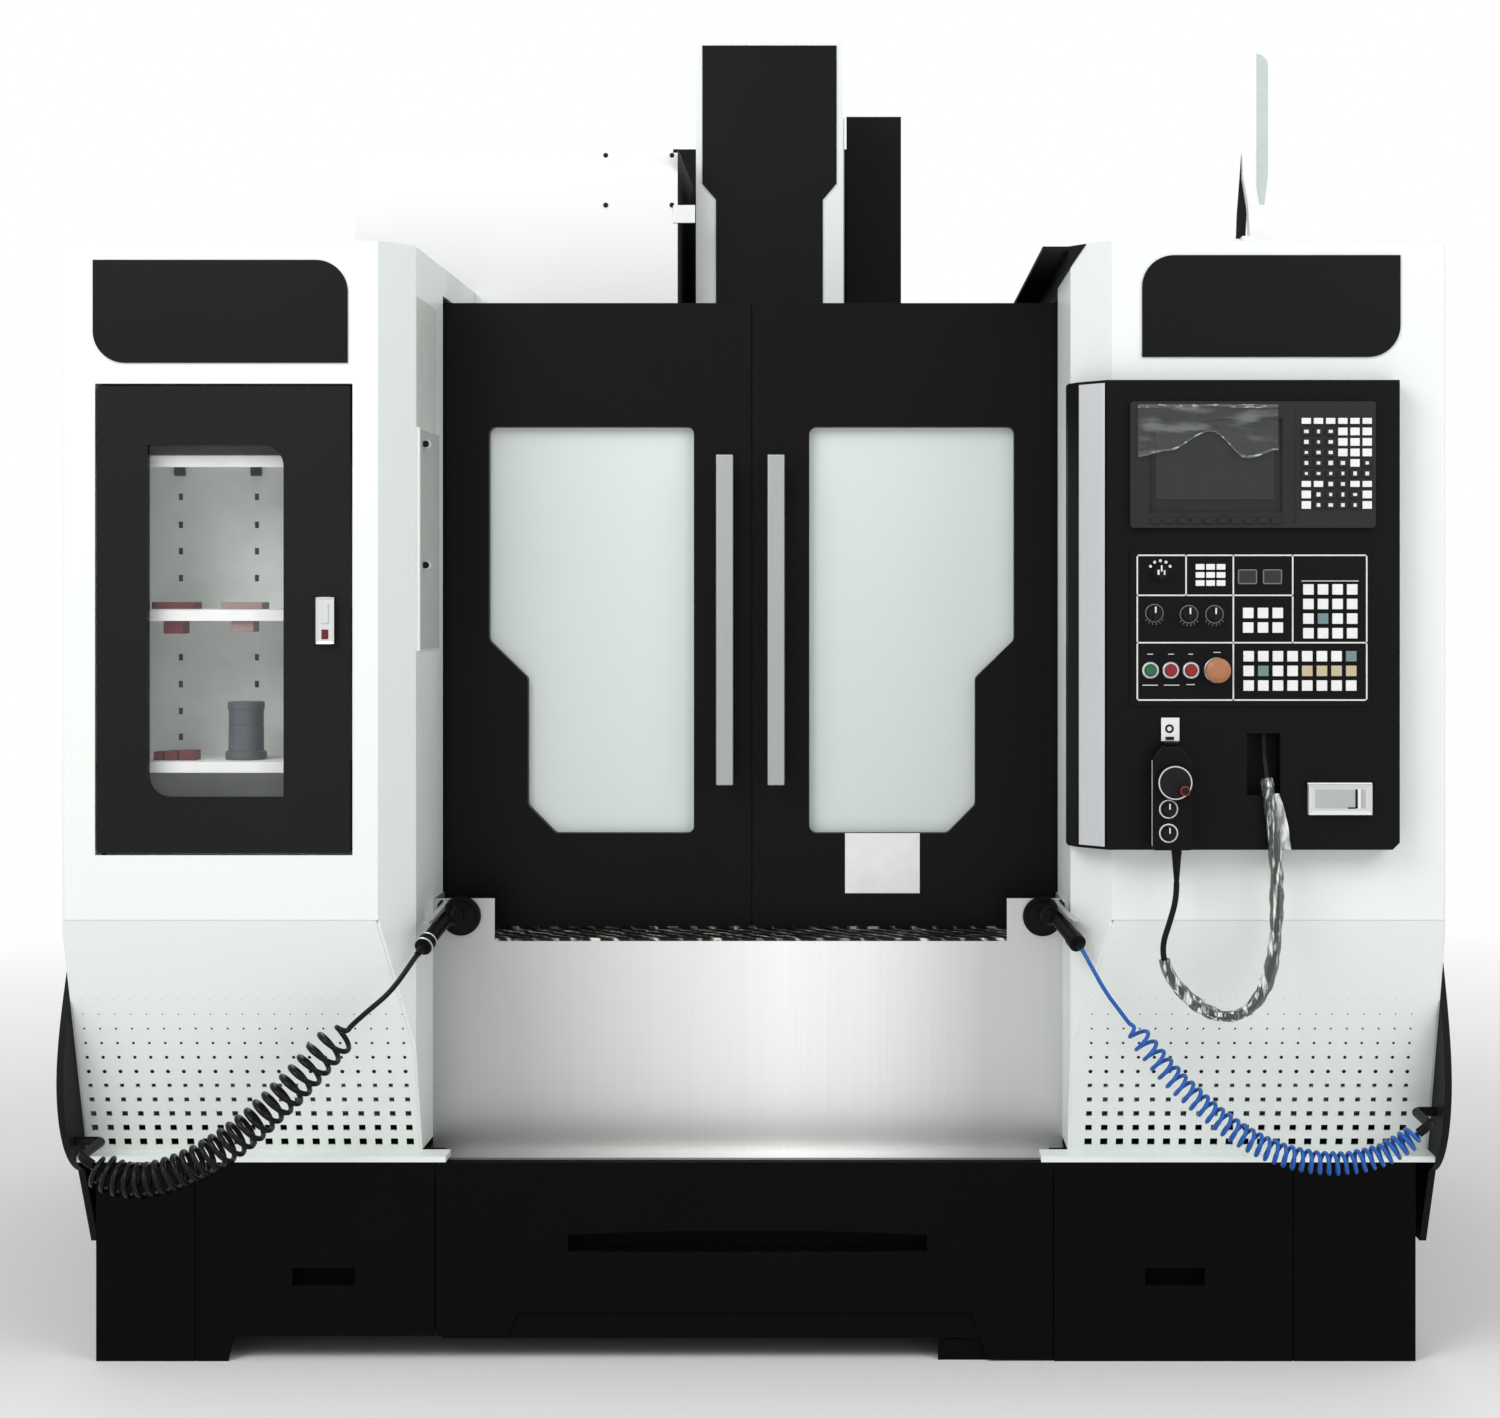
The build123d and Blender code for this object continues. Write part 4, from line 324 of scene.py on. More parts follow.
def oiledTrack():
    # dark oily steel on its sill, with bright diagonal marks painted on it as glints
    made = Graph("oiledTrack")
    slanted = made.node(
        "ShaderNodeTexWave", {"bands_direction": "DIAGONAL"},
        {"Vector": made.place, "Scale": 17, "Distortion": 4, "Detail": 2, "Detail Scale": 3},
    )
    # painted glints: diagonal bands mixed with noise
    paintedGlints = 0.42 * slanted + 0.58 * made.noise(26, 2)
    stops = [(0.54, (0, 0, 0)), (0.62, (0.13, 0.13, 0.13)), (0.70, (0.34, 0.34, 0.34)),
             (0.76, (1, 1, 1))]
    bright = made.node("ShaderNodeValToRGB", {"stops": stops}, {0: paintedGlints}) * (made.axis("Z") < 1.0)
    grain = made.noise(2, 4, made.stretched((3, 240, 240)))
    return made.surface(
        Base_Color=made.blend(bright, (0.012, 0.011, 0.010), (0.72, 0.72, 0.69)),
        Metallic=0.55,
        Roughness=0.32 + 0.2 * grain,
        Normal=made.bump(paintedGlints, 0.35, 0.0015),
        Specular_IOR_Level=0.2,
    )


finishes = {
    "cover": coverPaint("coverPaint", (0.80, 0.85, 0.815), (0.855, 0.895, 0.865)),
    "magazine": coverPaint("magazinePaint", (0.93, 0.955, 0.935), (0.955, 0.975, 0.96)),
    "apron": apronSteel(),
    "track": oiledTrack(),
    "cast": castPaint(),
    "pane": frostedPane(),
    "clear": clearPane(),
    "airHose": hoseSkin("airHoseSkin", (0.004, 0.004, 0.004), 0.22, 0.10, 0.12),
    "coolantHose": hoseSkin("coolantHoseSkin", (0.012, 0.120, 0.48), 0.25, 0.12, 0.25),
    "cable": hoseSkin("cableSkin", (0.005, 0.005, 0.005), 0.4, 0.04, 0.12),
    # on the films below, the pale streaks are painted highlights
    "film": wrinkledFilm("wrinkledFilm", 150, (1, 1, 0.12), (0.72, 0.97), (0.075, 0.095, 0.082),
                         (0.86, 0.90, 0.86), (0.52, 0.63)),
    "veil": wrinkledFilm("screenVeil", 16, (0.8, 1, 3.2), (0.16, 0.30), (0.125, 0.135, 0.132),
                         (0.30, 0.32, 0.31), depth=0.12),
    "hem": wrinkledFilm("filmHem", 45, (1, 1, 3), (0.32, 0.78), (0.20, 0.215, 0.21),
                        (0.62, 0.65, 0.64), depth=0.5),
    "loose": wrinkledFilm("looseFilm", 70, (1.4, 1, 0.4), (0.55, 0.92), (0.42, 0.45, 0.43),
                          (0.86, 0.89, 0.87), (0.42, 0.60), 0.5),
}
blackPaints = {
    # tone, roughness, specular level
    "door": ((0.0055, 0.0052, 0.0052), 0.34, 0.09),
    "store": ((0.0105, 0.0105, 0.0105), 0.38, 0.12),
    "panel": ((0.0055, 0.0055, 0.0057), 0.38, 0.09),
    "base": ((0.0032, 0.0029, 0.0027), 0.6, 0.05),
    "side": ((0.0092, 0.0092, 0.0092), 0.5, 0.10),
    "plate": ((0.0080, 0.0080, 0.0082), 0.32, 0.10),
}
steels = {
    # tone, darkest and palest share of it, way of the brushing, roughness
    "sheet": ((0.52, 0.53, 0.54), 0.7, 1.1, "X"),
    "ground": ((0.58, 0.58, 0.59), 0.8, 1.15, "X", 0.22),
    "bright": ((0.60, 0.61, 0.63), 0.9, 1.15, "Z", 0.28),
    "aluminium": ((0.66, 0.67, 0.67), 0.85, 1.1, "Z", 0.3),
    "bar": ((0.39, 0.41, 0.395), 0.9, 1.12, "Z", 0.34),
}
mouldings = {
    # tone, roughness, fineness of the grain, specular level
    # recess and shade are the cover paint darkened; on the left cheek they are painted shade
    "recess": ((0.66, 0.70, 0.665), 0.45, 500, 0.3),
    "shade": ((0.47, 0.50, 0.475), 0.5, 500, 0.3),
    "black": ((0.0075, 0.0075, 0.0075), 0.42, 900, 0.16),
    "gun": ((0.0045, 0.0045, 0.0048), 0.36, 900, 0.10),
    "bezel": ((0.026, 0.026, 0.029), 0.5, 900, 0.14),
    "trim": ((0.19, 0.19, 0.19), 0.4, 900, 0.25),
    "white": ((0.88, 0.89, 0.88), 0.35),
    "legend": ((0.80, 0.81, 0.80), 0.5),
    "label": ((0.92, 0.925, 0.92), 0.5),
    "teal": ((0.17, 0.27, 0.28), 0.35),
    "amber": ((0.60, 0.50, 0.34), 0.35),
    "green": ((0.020, 0.135, 0.050), 0.25),
    "red": ((0.28, 0.014, 0.018), 0.25),
    "mushroom": ((0.46, 0.185, 0.085), 0.3),
    "screen": ((0.034, 0.037, 0.036), 0.12, 40, 0.2),
    "shelf": ((0.95, 0.965, 0.95), 0.5),
    "wall": ((0.90, 0.94, 0.91), 0.6),
    "carton": ((0.125, 0.012, 0.016), 0.6, 300),
    "faded": ((0.36, 0.235, 0.235), 0.6, 300),
    "canister": ((0.085, 0.095, 0.108), 0.45, 300),
    "lens": ((0.90, 0.92, 0.91), 0.25, 60),
    # the lamp's lens darkened: painted shade on its right side
    "smoke": ((0.55, 0.62, 0.585), 0.22, 60),
}
for maker, table in ((satinBlack, blackPaints), (grainedSteel, steels), (moulded, mouldings)):
    for name, values in table.items():
        finishes[name] = maker(name, *values)
print("finishes made:", len(finishes))

nodeFinish = {
    "magazine": "magazine_cover",
    "cover": """head_cover left_cabinet right_cabinet vent_panels
        electrical_cabinet electrical_door""",
    "door": "left_door right_door",
    "store": "cabinet_door",
    "panel": "operator_panel pendant control_plate",
    "base": "base_skirt chip_drawer",
    "side": "rear_enclosure column_casting",
    "plate": "name_panels",
    "apron": "front_apron",
    "track": "door_tracks",
    "sheet": "chip_guard",
    "ground": "worktable spindle arm_shaft change_arm",
    "cast": "bed_casting leveling_feet saddle headstock changer_gearbox",
    "aluminium": "magazine_disc cabinet_latch air_trigger coolant_trigger port_latch",
    "black": "mode_knob feed_knob rapid_knob speed_knob axis_knob rate_knob handwheel",
    "gun": "hose_mounts air_gun coolant_gun",
    "bezel": "display_unit",
    "shelf": "cabinet_shelves",
    "green": "start_button",
    "red": "hold_button reset_button",
    "mushroom": "emergency_stop",
    "pane": "left_window right_window",
    "clear": "cabinet_window",
    "lens": "signal_lamp",
    "cable": "pendant_cable air_hose_lead air_hose_coil coolant_hose_lead coolant_hose_coil",
}
for finish, names in nodeFinish.items():
    for name in names.split():
        nodes[name].data.materials.clear()
        nodes[name].data.materials.append(finishes[finish])
        nodes[name].data.update()


# Shared modelling helpers
def fromBmesh(name, shape, finish, body=machineBody, smooth=False):
    mesh = bpy.data.meshes.new(name)
    shape.to_mesh(mesh)
    shape.free()
    for polygon in mesh.polygons:
        polygon.use_smooth = smooth
    mesh.materials.append(finishes[finish])
    piece = bpy.data.objects.new(name, mesh)
    bpy.context.scene.collection.objects.link(piece)
    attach(piece, body)
    return piece


def roundEdges(shape, edges, offset, segments=1):
    bmesh.ops.bevel(
        shape, geom=edges, offset=offset, segments=segments, affect="EDGES", profile=0.5,
        material=-1,
    )


def edgesOf(verts):
    return list(dict.fromkeys(edge for vert in verts for edge in vert.link_edges))


def addSlab(shape, low, high, bevel=0.0, segments=1):
    size = [b - a for a, b in zip(low, high)]
    middle = [(a + b) / 2 for a, b in zip(low, high)]
    matrix = Matrix.Translation(middle) @ Matrix.Diagonal((*size, 1))
    made = bmesh.ops.create_cube(shape, size=1, matrix=matrix)
    if bevel:
        roundEdges(shape, edgesOf(made["verts"]), bevel, segments)


def addDrum(shape, centre, radius, depth, segments=24, topRadius=None):
    # a short cylinder or cone along Y
    matrix = Matrix.Translation(centre) @ Matrix.Rotation(math.pi / 2, 4, "X")
    bmesh.ops.create_cone(
        shape, cap_ends=True, segments=segments, radius1=radius,
        radius2=radius if topRadius is None else topRadius, depth=depth, matrix=matrix,
    )


def slabPiece(name, finish, boxes, body=machineBody, bevel=0.0, segments=1):
    # a piece of slabs, each given by its low and its high corner
    shape = bmesh.new()
    for low, high in boxes:
        addSlab(shape, low, high, bevel, segments)
    return fromBmesh(name, shape, finish, body)


def frameBoxes(left, right, low, high, width, front, back):
    # the four sides of a frame that faces the front
    return [
        ((left, front, low), (right, back, low + width)),
        ((left, front, high - width), (right, back, high)),
        ((left, front, low), (left + width, back, high)),
        ((right - width, front, low), (right, back, high)),
    ]


def extrudeFace(shape, corners, move):
    # a flat outline, made thick along the move
    face = shape.faces.new([shape.verts.new(corner) for corner in corners])
    grown = bmesh.ops.extrude_face_region(shape, geom=[face])
    moved = [item for item in grown["geom"] if isinstance(item, bmesh.types.BMVert)]
    bmesh.ops.translate(shape, verts=moved, vec=move)
    bmesh.ops.recalc_face_normals(shape, faces=shape.faces)


def spinProfile(shape, points, centre, axis=(0, 1, 0), steps=40, closed=True):
    # a full turn of an outline; a closed one leaves the middle open
    verts = [shape.verts.new(point) for point in points]
    after = verts[1:] + verts[:1] if closed else verts[1:]
    edges = [shape.edges.new(pair) for pair in zip(verts, after)]
    bmesh.ops.spin(
        shape, geom=verts + edges, cent=centre, axis=axis, angle=2 * math.pi, steps=steps,
        use_merge=True,
    )


def addRing(shape, centre, inner, outer, front, rise):
    # a flat ring facing minus Y
    x, z = centre
    profile = [(inner, 0), (inner, rise), (outer - rise / 3, rise), (outer, rise * 0.6), (outer, 0)]
    points = [(x + radius, front - height, z) for radius, height in profile]
    spinProfile(shape, points, (x, front, z))


# Cords
def routeLine(points):
    curve = bpy.data.curves.new("route", "CURVE")
    curve.dimensions = "3D"
    fillSpline(curve, points)
    carrier = bpy.data.objects.new("route", curve)
    mesh = bpy.data.meshes.new_from_object(carrier)
    line = [vertex.co.copy() for vertex in mesh.vertices]
    bpy.data.objects.remove(carrier)
    bpy.data.meshes.remove(mesh)
    bpy.data.curves.remove(curve)
    return line


def fillSpline(curve, points):
    spline = curve.splines.new("NURBS")
    spline.points.add(len(points) - 1)
    for place, point in zip(spline.points, points):
        place.co = (*point, 1)
    spline.order_u = 3
    spline.use_endpoint_u = True
    spline.resolution_u = 6
    curve.resolution_u = 6


def metres(points):
    return [Vector(point) / 1000 for point in points]


def evenFrames(line, shares):
    # points and side directions at the given shares of a line's length
    steps = [0.0]
    for first, second in zip(line, line[1:]):
        steps.append(steps[-1] + (second - first).length)
    side = Vector((0, 1, 0))
    frames = []
    index = 0
    for share in shares:
        wanted = share * steps[-1]
        while index < len(steps) - 2 and steps[index + 1] < wanted:
            index += 1
        span = steps[index + 1] - steps[index]
        part = 0 if span == 0 else (wanted - steps[index]) / span
        place = line[index].lerp(line[index + 1], min(max(part, 0), 1))
        along = (line[index + 1] - line[index]).normalized()
        side = (side - along * side.dot(along)).normalized()
        frames.append((place, along, side.copy(), along.cross(side)))
    return frames


def curledPoints(route, settings):
    # the helix of a curled hose about its route, its ends brought in to the middle
    line = routeLine(route)
    count = settings["turns"] * settings["perTurn"]
    shares = [(step / count) ** settings["crowding"] for step in range(count + 1)]
    random.seed(settings["seed"])
    points = []
    drift = 0.0
    for step, (place, along, side, up) in enumerate(evenFrames(line, shares)):
        fromEnd = min(step, count - step) / settings["perTurn"]
        grown = min(1.0, fromEnd / settings["endTurns"])
        drift = 0.9 * drift + random.uniform(-1, 1) * settings["unevenness"]
        radius = settings["radius"] * grown * (1 + min(0, drift))
        angle = settings["startAngle"] + step * 2 * math.pi / settings["perTurn"]
        points.append(place + radius * (math.cos(angle) * side + math.sin(angle) * up))
    return points


def makeCord(name, points, settings, covered, finish):
    curve = bpy.data.curves.new(name, "CURVE")
    curve.dimensions = "3D"
    curve.bevel_depth = settings["diameter"] / 2
    curve.bevel_resolution = 3
    curve.use_fill_caps = True
    fillSpline(curve, points)
    curve.materials.append(finishes[finish])
    piece = bpy.data.objects.new(name, curve)
    bpy.context.scene.collection.objects.link(piece)
    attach(piece, machineBody)
    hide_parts(*covered)
    return piece


airHose = {
    "diameter": 0.009, "length": 4.75, "farEnd": "object", "stiffness": "medium",
    "turns": 26, "perTurn": 14, "radius": 0.0275, "endTurns": 0.8, "startAngle": 2.0,
    "crowding": 0.86, "unevenness": 0.02, "seed": 4,
}
airGunHead = Vector((-541, -955, 768))
airGunEnd = Vector((-566, -1055, 727))
airLead = metres([
    airGunEnd, airGunEnd + (airGunEnd - airGunHead).normalized() * 25, (-584, -1094, 698),
    (-600, -1104, 674), (-618, -1110, 653), (-637, -1114, 637), (-657.28, -1115, 619.84),
    (-678, -1115, 601),
])
airCurl = metres([
    (-678, -1115, 601), (-711, -1115, 571), (-762, -1116, 512), (-812, -1117, 462),
    (-871, -1117, 411), (-939, -1116, 369), (-1014, -1115, 341), (-1076, -1114, 344),
    (-1112, -1113, 369),
])
makeCord(
    "airHose", airLead[:-1] + curledPoints(airCurl, airHose), airHose,
    ["air_hose_lead", "air_hose_coil"], "airHose",
)

coolantHose = {
    "diameter": 0.007, "length": 4.3, "farEnd": "object", "stiffness": "medium",
    "turns": 36, "perTurn": 14, "radius": 0.0178, "endTurns": 0.8, "startAngle": 1.0,
    "crowding": 0.85, "unevenness": 0.02, "seed": 7,
}
coolantGunHead = Vector((520, -975, 771))
coolantGunEnd = Vector((551, -1070, 735))
coolantLead = metres([
    coolantGunEnd, coolantGunEnd + (coolantGunEnd - coolantGunHead).normalized() * 20,
    (566, -1099, 711), (577, -1105, 691), (589, -1108, 669), (602, -1107, 649),
    (618.2, -1105, 627.8), (635, -1105, 605),
])
coolantCurl = metres([
    (635, -1105, 605), (685.2, -1105, 536.9), (753, -1106, 470), (829, -1107, 411),
    (904, -1107, 378), (988, -1106, 366), (1073, -1105, 383), (1123, -1104, 420),
])
makeCord(
    "coolantHose", coolantLead[:-1] + curledPoints(coolantCurl, coolantHose), coolantHose,
    ["coolant_hose_lead", "coolant_hose_coil"], "coolantHose",
)

pendantCable = {
    "diameter": 0.010, "length": 0.8, "farEnd": "object", "stiffness": "medium",
    "filmFrom": 0.165, "filmTo": 0.90, "filmRadius": 0.0105, "filmSwell": 0.0030,
    "tail": (0.868, 0.892, 0.996, 0.902),
}
pendantRoute = metres([
    (710, -1140, 848), (710, -1140, 822), (699, -1142, 783), (685, -1143, 742),
    (692, -1142, 702), (716, -1141, 667), (752, -1140, 636), (792, -1139, 620),
    (828, -1138, 630), (855, -1137, 662), (870, -1136, 705), (877, -1136, 760),
    (879, -1136, 825), (876, -1137, 890), (871, -1138, 945), (866, -1135, 987),
    (863, -1122, 1026), (861, -1108, 1063), (861, -1108, 1096),
])


def makeFilm(settings):
    # crumpled wrapping film round the cable's lower and right stretch
    around, rings = 18, 130
    line = routeLine(pendantRoute)
    first, last = settings["filmFrom"], settings["filmTo"]
    shares = [first + (last - first) * ring / rings for ring in range(rings + 1)]
    shape = bmesh.new()
    previous = None
    for ring, (place, along, side, up) in enumerate(evenFrames(line, shares)):
        made = bmesh.ops.create_circle(shape, segments=around, radius=settings["filmRadius"])
        for spot, vertex in enumerate(made["verts"]):
            turn = spot * 2 * math.pi / around
            crease = math.sin(3 * turn + ring * 0.31) * math.sin(ring * 0.47 + turn)
            fold = math.sin(ring * 0.13) * math.cos(2 * turn - ring * 0.07)
            radius = settings["filmRadius"] + settings["filmSwell"] * (0.6 * crease + 0.5 * fold)
            vertex.co = place + radius * (math.cos(turn) * side + math.sin(turn) * up)
        if previous:
            edges = [edge for verts in (previous, made["verts"]) for vert in verts
                     for edge in vert.link_edges
                     if edge.other_vert(vert) in verts]
            bmesh.ops.bridge_loops(shape, edges=list(dict.fromkeys(edges)))
        previous = made["verts"]
    bmesh.ops.recalc_face_normals(shape, faces=shape.faces)
    return fromBmesh("cableFilm", shape, "film", smooth=True)


def makeFilmTail(settings):
    # loose end of the film, which hangs beside the cable below the opening
    shape = bmesh.new()
    bmesh.ops.create_grid(shape, x_segments=6, y_segments=26, size=0.5)
    left, right, top, low = settings["tail"]
    for vertex in shape.verts:
        down = 0.5 - vertex.co.y
        across = vertex.co.x + 0.5
        width = (right - left) * (0.35 + 0.65 * math.sin(min(1.0, 0.25 + down) * math.pi / 2))
        vertex.co = Vector((
            left + 0.010 * down + width * across,
            -1.1335 - 0.0016 * math.sin(down * 17 + across * 4) - 0.003 * across,
            top - (top - low) * down,
        ))
    bmesh.ops.recalc_face_normals(shape, faces=shape.faces)
    bmesh.ops.solidify(shape, geom=shape.faces[:], thickness=0.0002)
    return fromBmesh("filmTail", shape, "loose", smooth=True)


makeFilmTail(pendantCable)
cableFilm = makeFilm(pendantCable)
makeCord(
    "pendantCord", pendantRoute, pendantCable, ["pendant_cable"], "cable",
)
print("cords laid")


# Door handles: bright bars over the solid's bars, each on two posts with round feet
handle = {
    "inner": 0.0315, "outer": 0.0625, "low": 0.981, "high": 1.586, "skin": 0.0006,
    "front": -0.775, "thickness": 0.010, "round": 0.0028, "post": 0.0096, "postInset": 0.05,
    "footRadius": 0.014, "footDepth": 0.004,
}
centreX = -0.02
doorFront = -0.725


def makeHandle(name, side, body):
    shape = bmesh.new()
    ends = sorted((centreX + side * handle["inner"], centreX + side * handle["outer"]))
    middle = sum(ends) / 2
    skin, front, low, high = (handle[key] for key in ("skin", "front", "low", "high"))
    back = front + handle["thickness"]
    addSlab(shape, (ends[0] - skin, front - skin, low - skin),
            (ends[1] + skin, back + skin, high + skin), handle["round"], 3)
    depth = handle["footDepth"]
    for height in (low + handle["postInset"], high - handle["postInset"]):
        addDrum(shape, (middle, (back + doorFront) / 2, height), handle["post"], doorFront - back)
        addDrum(shape, (middle, doorFront - depth / 2, height), handle["footRadius"], depth,
                segments=32)
    return fromBmesh(name, shape, "bar", body)


makeHandle("leftHandle", -1, "left_door")
makeHandle("rightHandle", 1, "right_door")


# Rubber lip on the left door's edge, which closes the slit between the doors
seal = {"overlap": 0.0010, "reach": 0.0027, "inset": 0.003, "depth": 0.010, "margin": 0.002}


def makeDoorSeal():
    low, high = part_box("left_door")
    front = doorFront + seal["inset"]
    box = ((high.x - seal["overlap"], front, low.z + seal["margin"]),
           (high.x + seal["reach"], front + seal["depth"], high.z - seal["margin"]))
    slabPiece("doorSeal", "gun", [box], "left_door", 0.0004)


makeDoorSeal()


# Black plate on the front of the head cover
headPlate = {
    "rise": 0.0006, "sunk": 0.0005,
    "outline": [(-0.109, 1.892), (0.109, 1.892), (0.109, 2.136), (0.137, 2.169),
                (0.137, 2.4505), (-0.137, 2.4505), (-0.137, 2.169), (-0.109, 2.136)],
}


def makeHeadPlate():
    low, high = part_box("head_cover")
    middle = (low.x + high.x) / 2
    sunk = headPlate["sunk"]
    shape = bmesh.new()
    extrudeFace(shape, [(middle + x, low.y + sunk, z) for x, z in headPlate["outline"]],
                (0, -headPlate["rise"] - sunk, 0))
    fromBmesh("headPlate", shape, "plate", "headstock")


makeHeadPlate()

# Bare label plate on the right door
labelBox = ((0.153, doorFront - 0.0008, 0.778), (0.291, doorFront, 0.889))
slabPiece("labelPlate", "label", [labelBox], "right_door", 0.0003)


# Left cheek: white skin on the roof flange, two panels in the cover paint darkened as painted
# shade, the lower one darker, and two plugs
cheek = {
    "wallX": -0.588, "channelX": -0.582, "skin": 0.0006, "margin": 0.003,
    "channel": (-0.998, -0.810, 1.231, 1.620), "recessTop": 1.846,
    "flange": (-0.740, -0.386, 1.880, 1.9325),
    "plugs": (1.592, 1.381), "plugX": -0.5765, "plugY": -0.965, "plugRadius": 0.0060,
    "plugRise": 0.0083, "socketWall": 0.0016, "socketDepth": 0.016,
}


def makeCheek():
    wall, channel, skin, margin = (cheek[key] for key in ("wallX", "channelX", "skin", "margin"))
    front, back, low, high = cheek["channel"]
    start, end, bottom, top = cheek["flange"]
    slabPiece("roofEdge", "cover",
              [((wall, start, bottom), (wall + skin, end, top))])
    # painted shade: the cheek panel and the channel face in darkened cover paint
    slabPiece("cheekPanel", "recess",
              [((wall, front, high), (wall + skin, back, cheek["recessTop"]))])
    slabPiece("channelFace", "shade",
              [((channel, front + margin, low + margin),
                (channel + skin, back - margin, high - margin))])
    plugs = bmesh.new()
    sockets = bmesh.new()
    x, y, radius = cheek["plugX"], cheek["plugY"], cheek["plugRadius"]
    for height in cheek["plugs"]:
        addDrum(sockets, (x, y, height), radius + cheek["socketWall"], cheek["socketDepth"],
                segments=32)
        addDrum(plugs, (x, y - cheek["plugRise"], height), radius, 0.0012, segments=32)
    fromBmesh("cheekSockets", sockets, "recess")
    fromBmesh("cheekPlugs", plugs, "black")


makeCheek()


# Magazine cover: screws, the plate at its right edge and its black right side
magazine = {
    "front": -0.385, "screwX": (-0.326, -0.194), "screwZ": (2.206, 2.107),
    "screwRadius": 0.0042, "screwRise": 0.0018, "plate": (-0.192, -0.148, 2.071, 2.107),
    "plateRise": 0.0025, "sideSkin": 0.0006,
}


def makeMagazineTrim():
    front, rise, radius = (magazine[key] for key in ("front", "screwRise", "screwRadius"))
    screws = bmesh.new()
    for x in magazine["screwX"]:
        for z in magazine["screwZ"]:
            addDrum(screws, (x, front - rise / 2, z), radius, rise, segments=16,
                    topRadius=radius * 1.2)
    fromBmesh("magazineScrews", screws, "black")
    left, right, low, high = magazine["plate"]
    plateBox = ((left, front - magazine["plateRise"], low), (right, front, high))
    slabPiece("magazinePlate", "aluminium", [plateBox], bevel=0.0008, segments=2)
    low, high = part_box("magazine_cover")
    sideBox = ((high.x, low.y + 0.002, low.z),
               (high.x + magazine["sideSkin"], high.y, high.z - 0.001))
    slabPiece("magazineSide", "side", [sideBox])


makeMagazineTrim()


# Signal lamp: the lens's right side darkened as painted shade, and a black sheet behind its left
# edge as painted shadow
lamp = {
    "front": -1.0478, "rise": 0.0006, "back": -1.022, "bracketDepth": 0.004,
    "side": [(0.8590, 2.2490), (0.8590, 2.2555), (0.8690, 2.2520), (0.8770, 2.2440),
             (0.8786, 2.2360), (0.8786, 2.0450), (0.8725, 1.9960), (0.8640, 1.9975),
             (0.8590, 2.0250)],
    "bracket": [(0.8405, 2.1480), (0.8375, 2.0950), (0.8292, 1.9840), (0.8277, 1.9420),
                (0.8440, 1.9420), (0.8455, 1.9800), (0.8500, 1.9840), (0.8465, 2.0300),
                (0.8400, 2.0900)],
}


def makeLampPart(name, finish, outline, face, depth):
    shape = bmesh.new()
    extrudeFace(shape, [(x, face, z) for x, z in outline], (0, -depth, 0))
    fromBmesh(name, shape, finish)


# painted shade on the lens and painted shadow behind its left edge
makeLampPart("lampShadedSide", "smoke", lamp["side"], lamp["front"], lamp["rise"])
makeLampPart("lampShadow", "black", lamp["bracket"], lamp["back"],
             lamp["bracketDepth"])
print("handles and plates made")


# Operator panel: keys, frame lines, meters, screen and strip
panel = {"plateFront": -1.123, "keyRise": 0.0030, "capRise": 0.0008, "capSkin": 0.0003,
         "line": 0.0024, "lineRise": 0.0006}
keyFields = [
    # centre x, centre z, pitch x, pitch z, columns, rows, width, height
    (0.769, 1.362, 0.0176, 0.0136, 3, 3, 0.014, 0.009),
    (0.970, 1.301, 0.0245, 0.0245, 4, 4, 0.017, 0.017),
    (0.857, 1.286, 0.0248, 0.0245, 3, 2, 0.017, 0.017),
    (0.919, 1.201, 0.0246, 0.0246, 8, 3, 0.017, 0.017),
]
tealKeys = {(1, 1, 1), (3, 7, 2), (3, 1, 1)}
amberKeys = {(3, 4, 1), (3, 5, 1), (3, 6, 1), (3, 7, 1)}


def fieldPlaces(field):
    x, z, pitchX, pitchZ, columns, rows = field[:6]
    for row in range(rows):
        for column in range(columns):
            yield (column, row, x + (column - (columns - 1) / 2) * pitchX,
                   z + (row - (rows - 1) / 2) * pitchZ)


def makeControlKeys():
    shapes = {"white": bmesh.new(), "teal": bmesh.new(), "amber": bmesh.new()}
    front = panel["plateFront"] - panel["keyRise"]
    for index, field in enumerate(keyFields):
        halfWide = field[6] / 2 + panel["capSkin"]
        halfHigh = field[7] / 2 + panel["capSkin"]
        for column, row, x, z in fieldPlaces(field):
            colour = "white"
            if (index, column, row) in tealKeys:
                colour = "teal"
            if (index, column, row) in amberKeys:
                colour = "amber"
            addSlab(
                shapes[colour],
                (x - halfWide, front - panel["capRise"], z - halfHigh),
                (x + halfWide, panel["plateFront"], z + halfHigh),
                0.0007, 2,
            )
    for colour, shape in shapes.items():
        fromBmesh(colour + "Keys", shape, colour)


makeControlKeys()

frameLines = {
    "x": (0.6463, 0.7282, 0.8076, 0.9073, 1.0316),
    "z": (1.152, 1.2483, 1.3279, 1.3951),
    "uprights": [(0, 0, 3), (4, 0, 3), (2, 0, 3), (1, 2, 3), (3, 1, 3)],  # at x, from z, to z
    "levels": [(0, 0, 4), (3, 0, 4), (1, 0, 4), (2, 0, 3)],  # at z, from x, to x
    # short rules under the buttons and over the key fields: middle, height, width
    "rules": [(0.668, 1.177, 0.026), (0.704, 1.177, 0.026), (0.736, 1.178, 0.014),
              (0.970, 1.352, 0.096), (0.668, 1.229, 0.010), (0.703, 1.229, 0.010),
              (0.736, 1.229, 0.008), (0.780, 1.232, 0.012)],
    "ruleHalf": 0.0006, "dotArc": 0.019, "dot": 0.0026, "dotAngles": (-60, -30, 0, 30, 60),
}


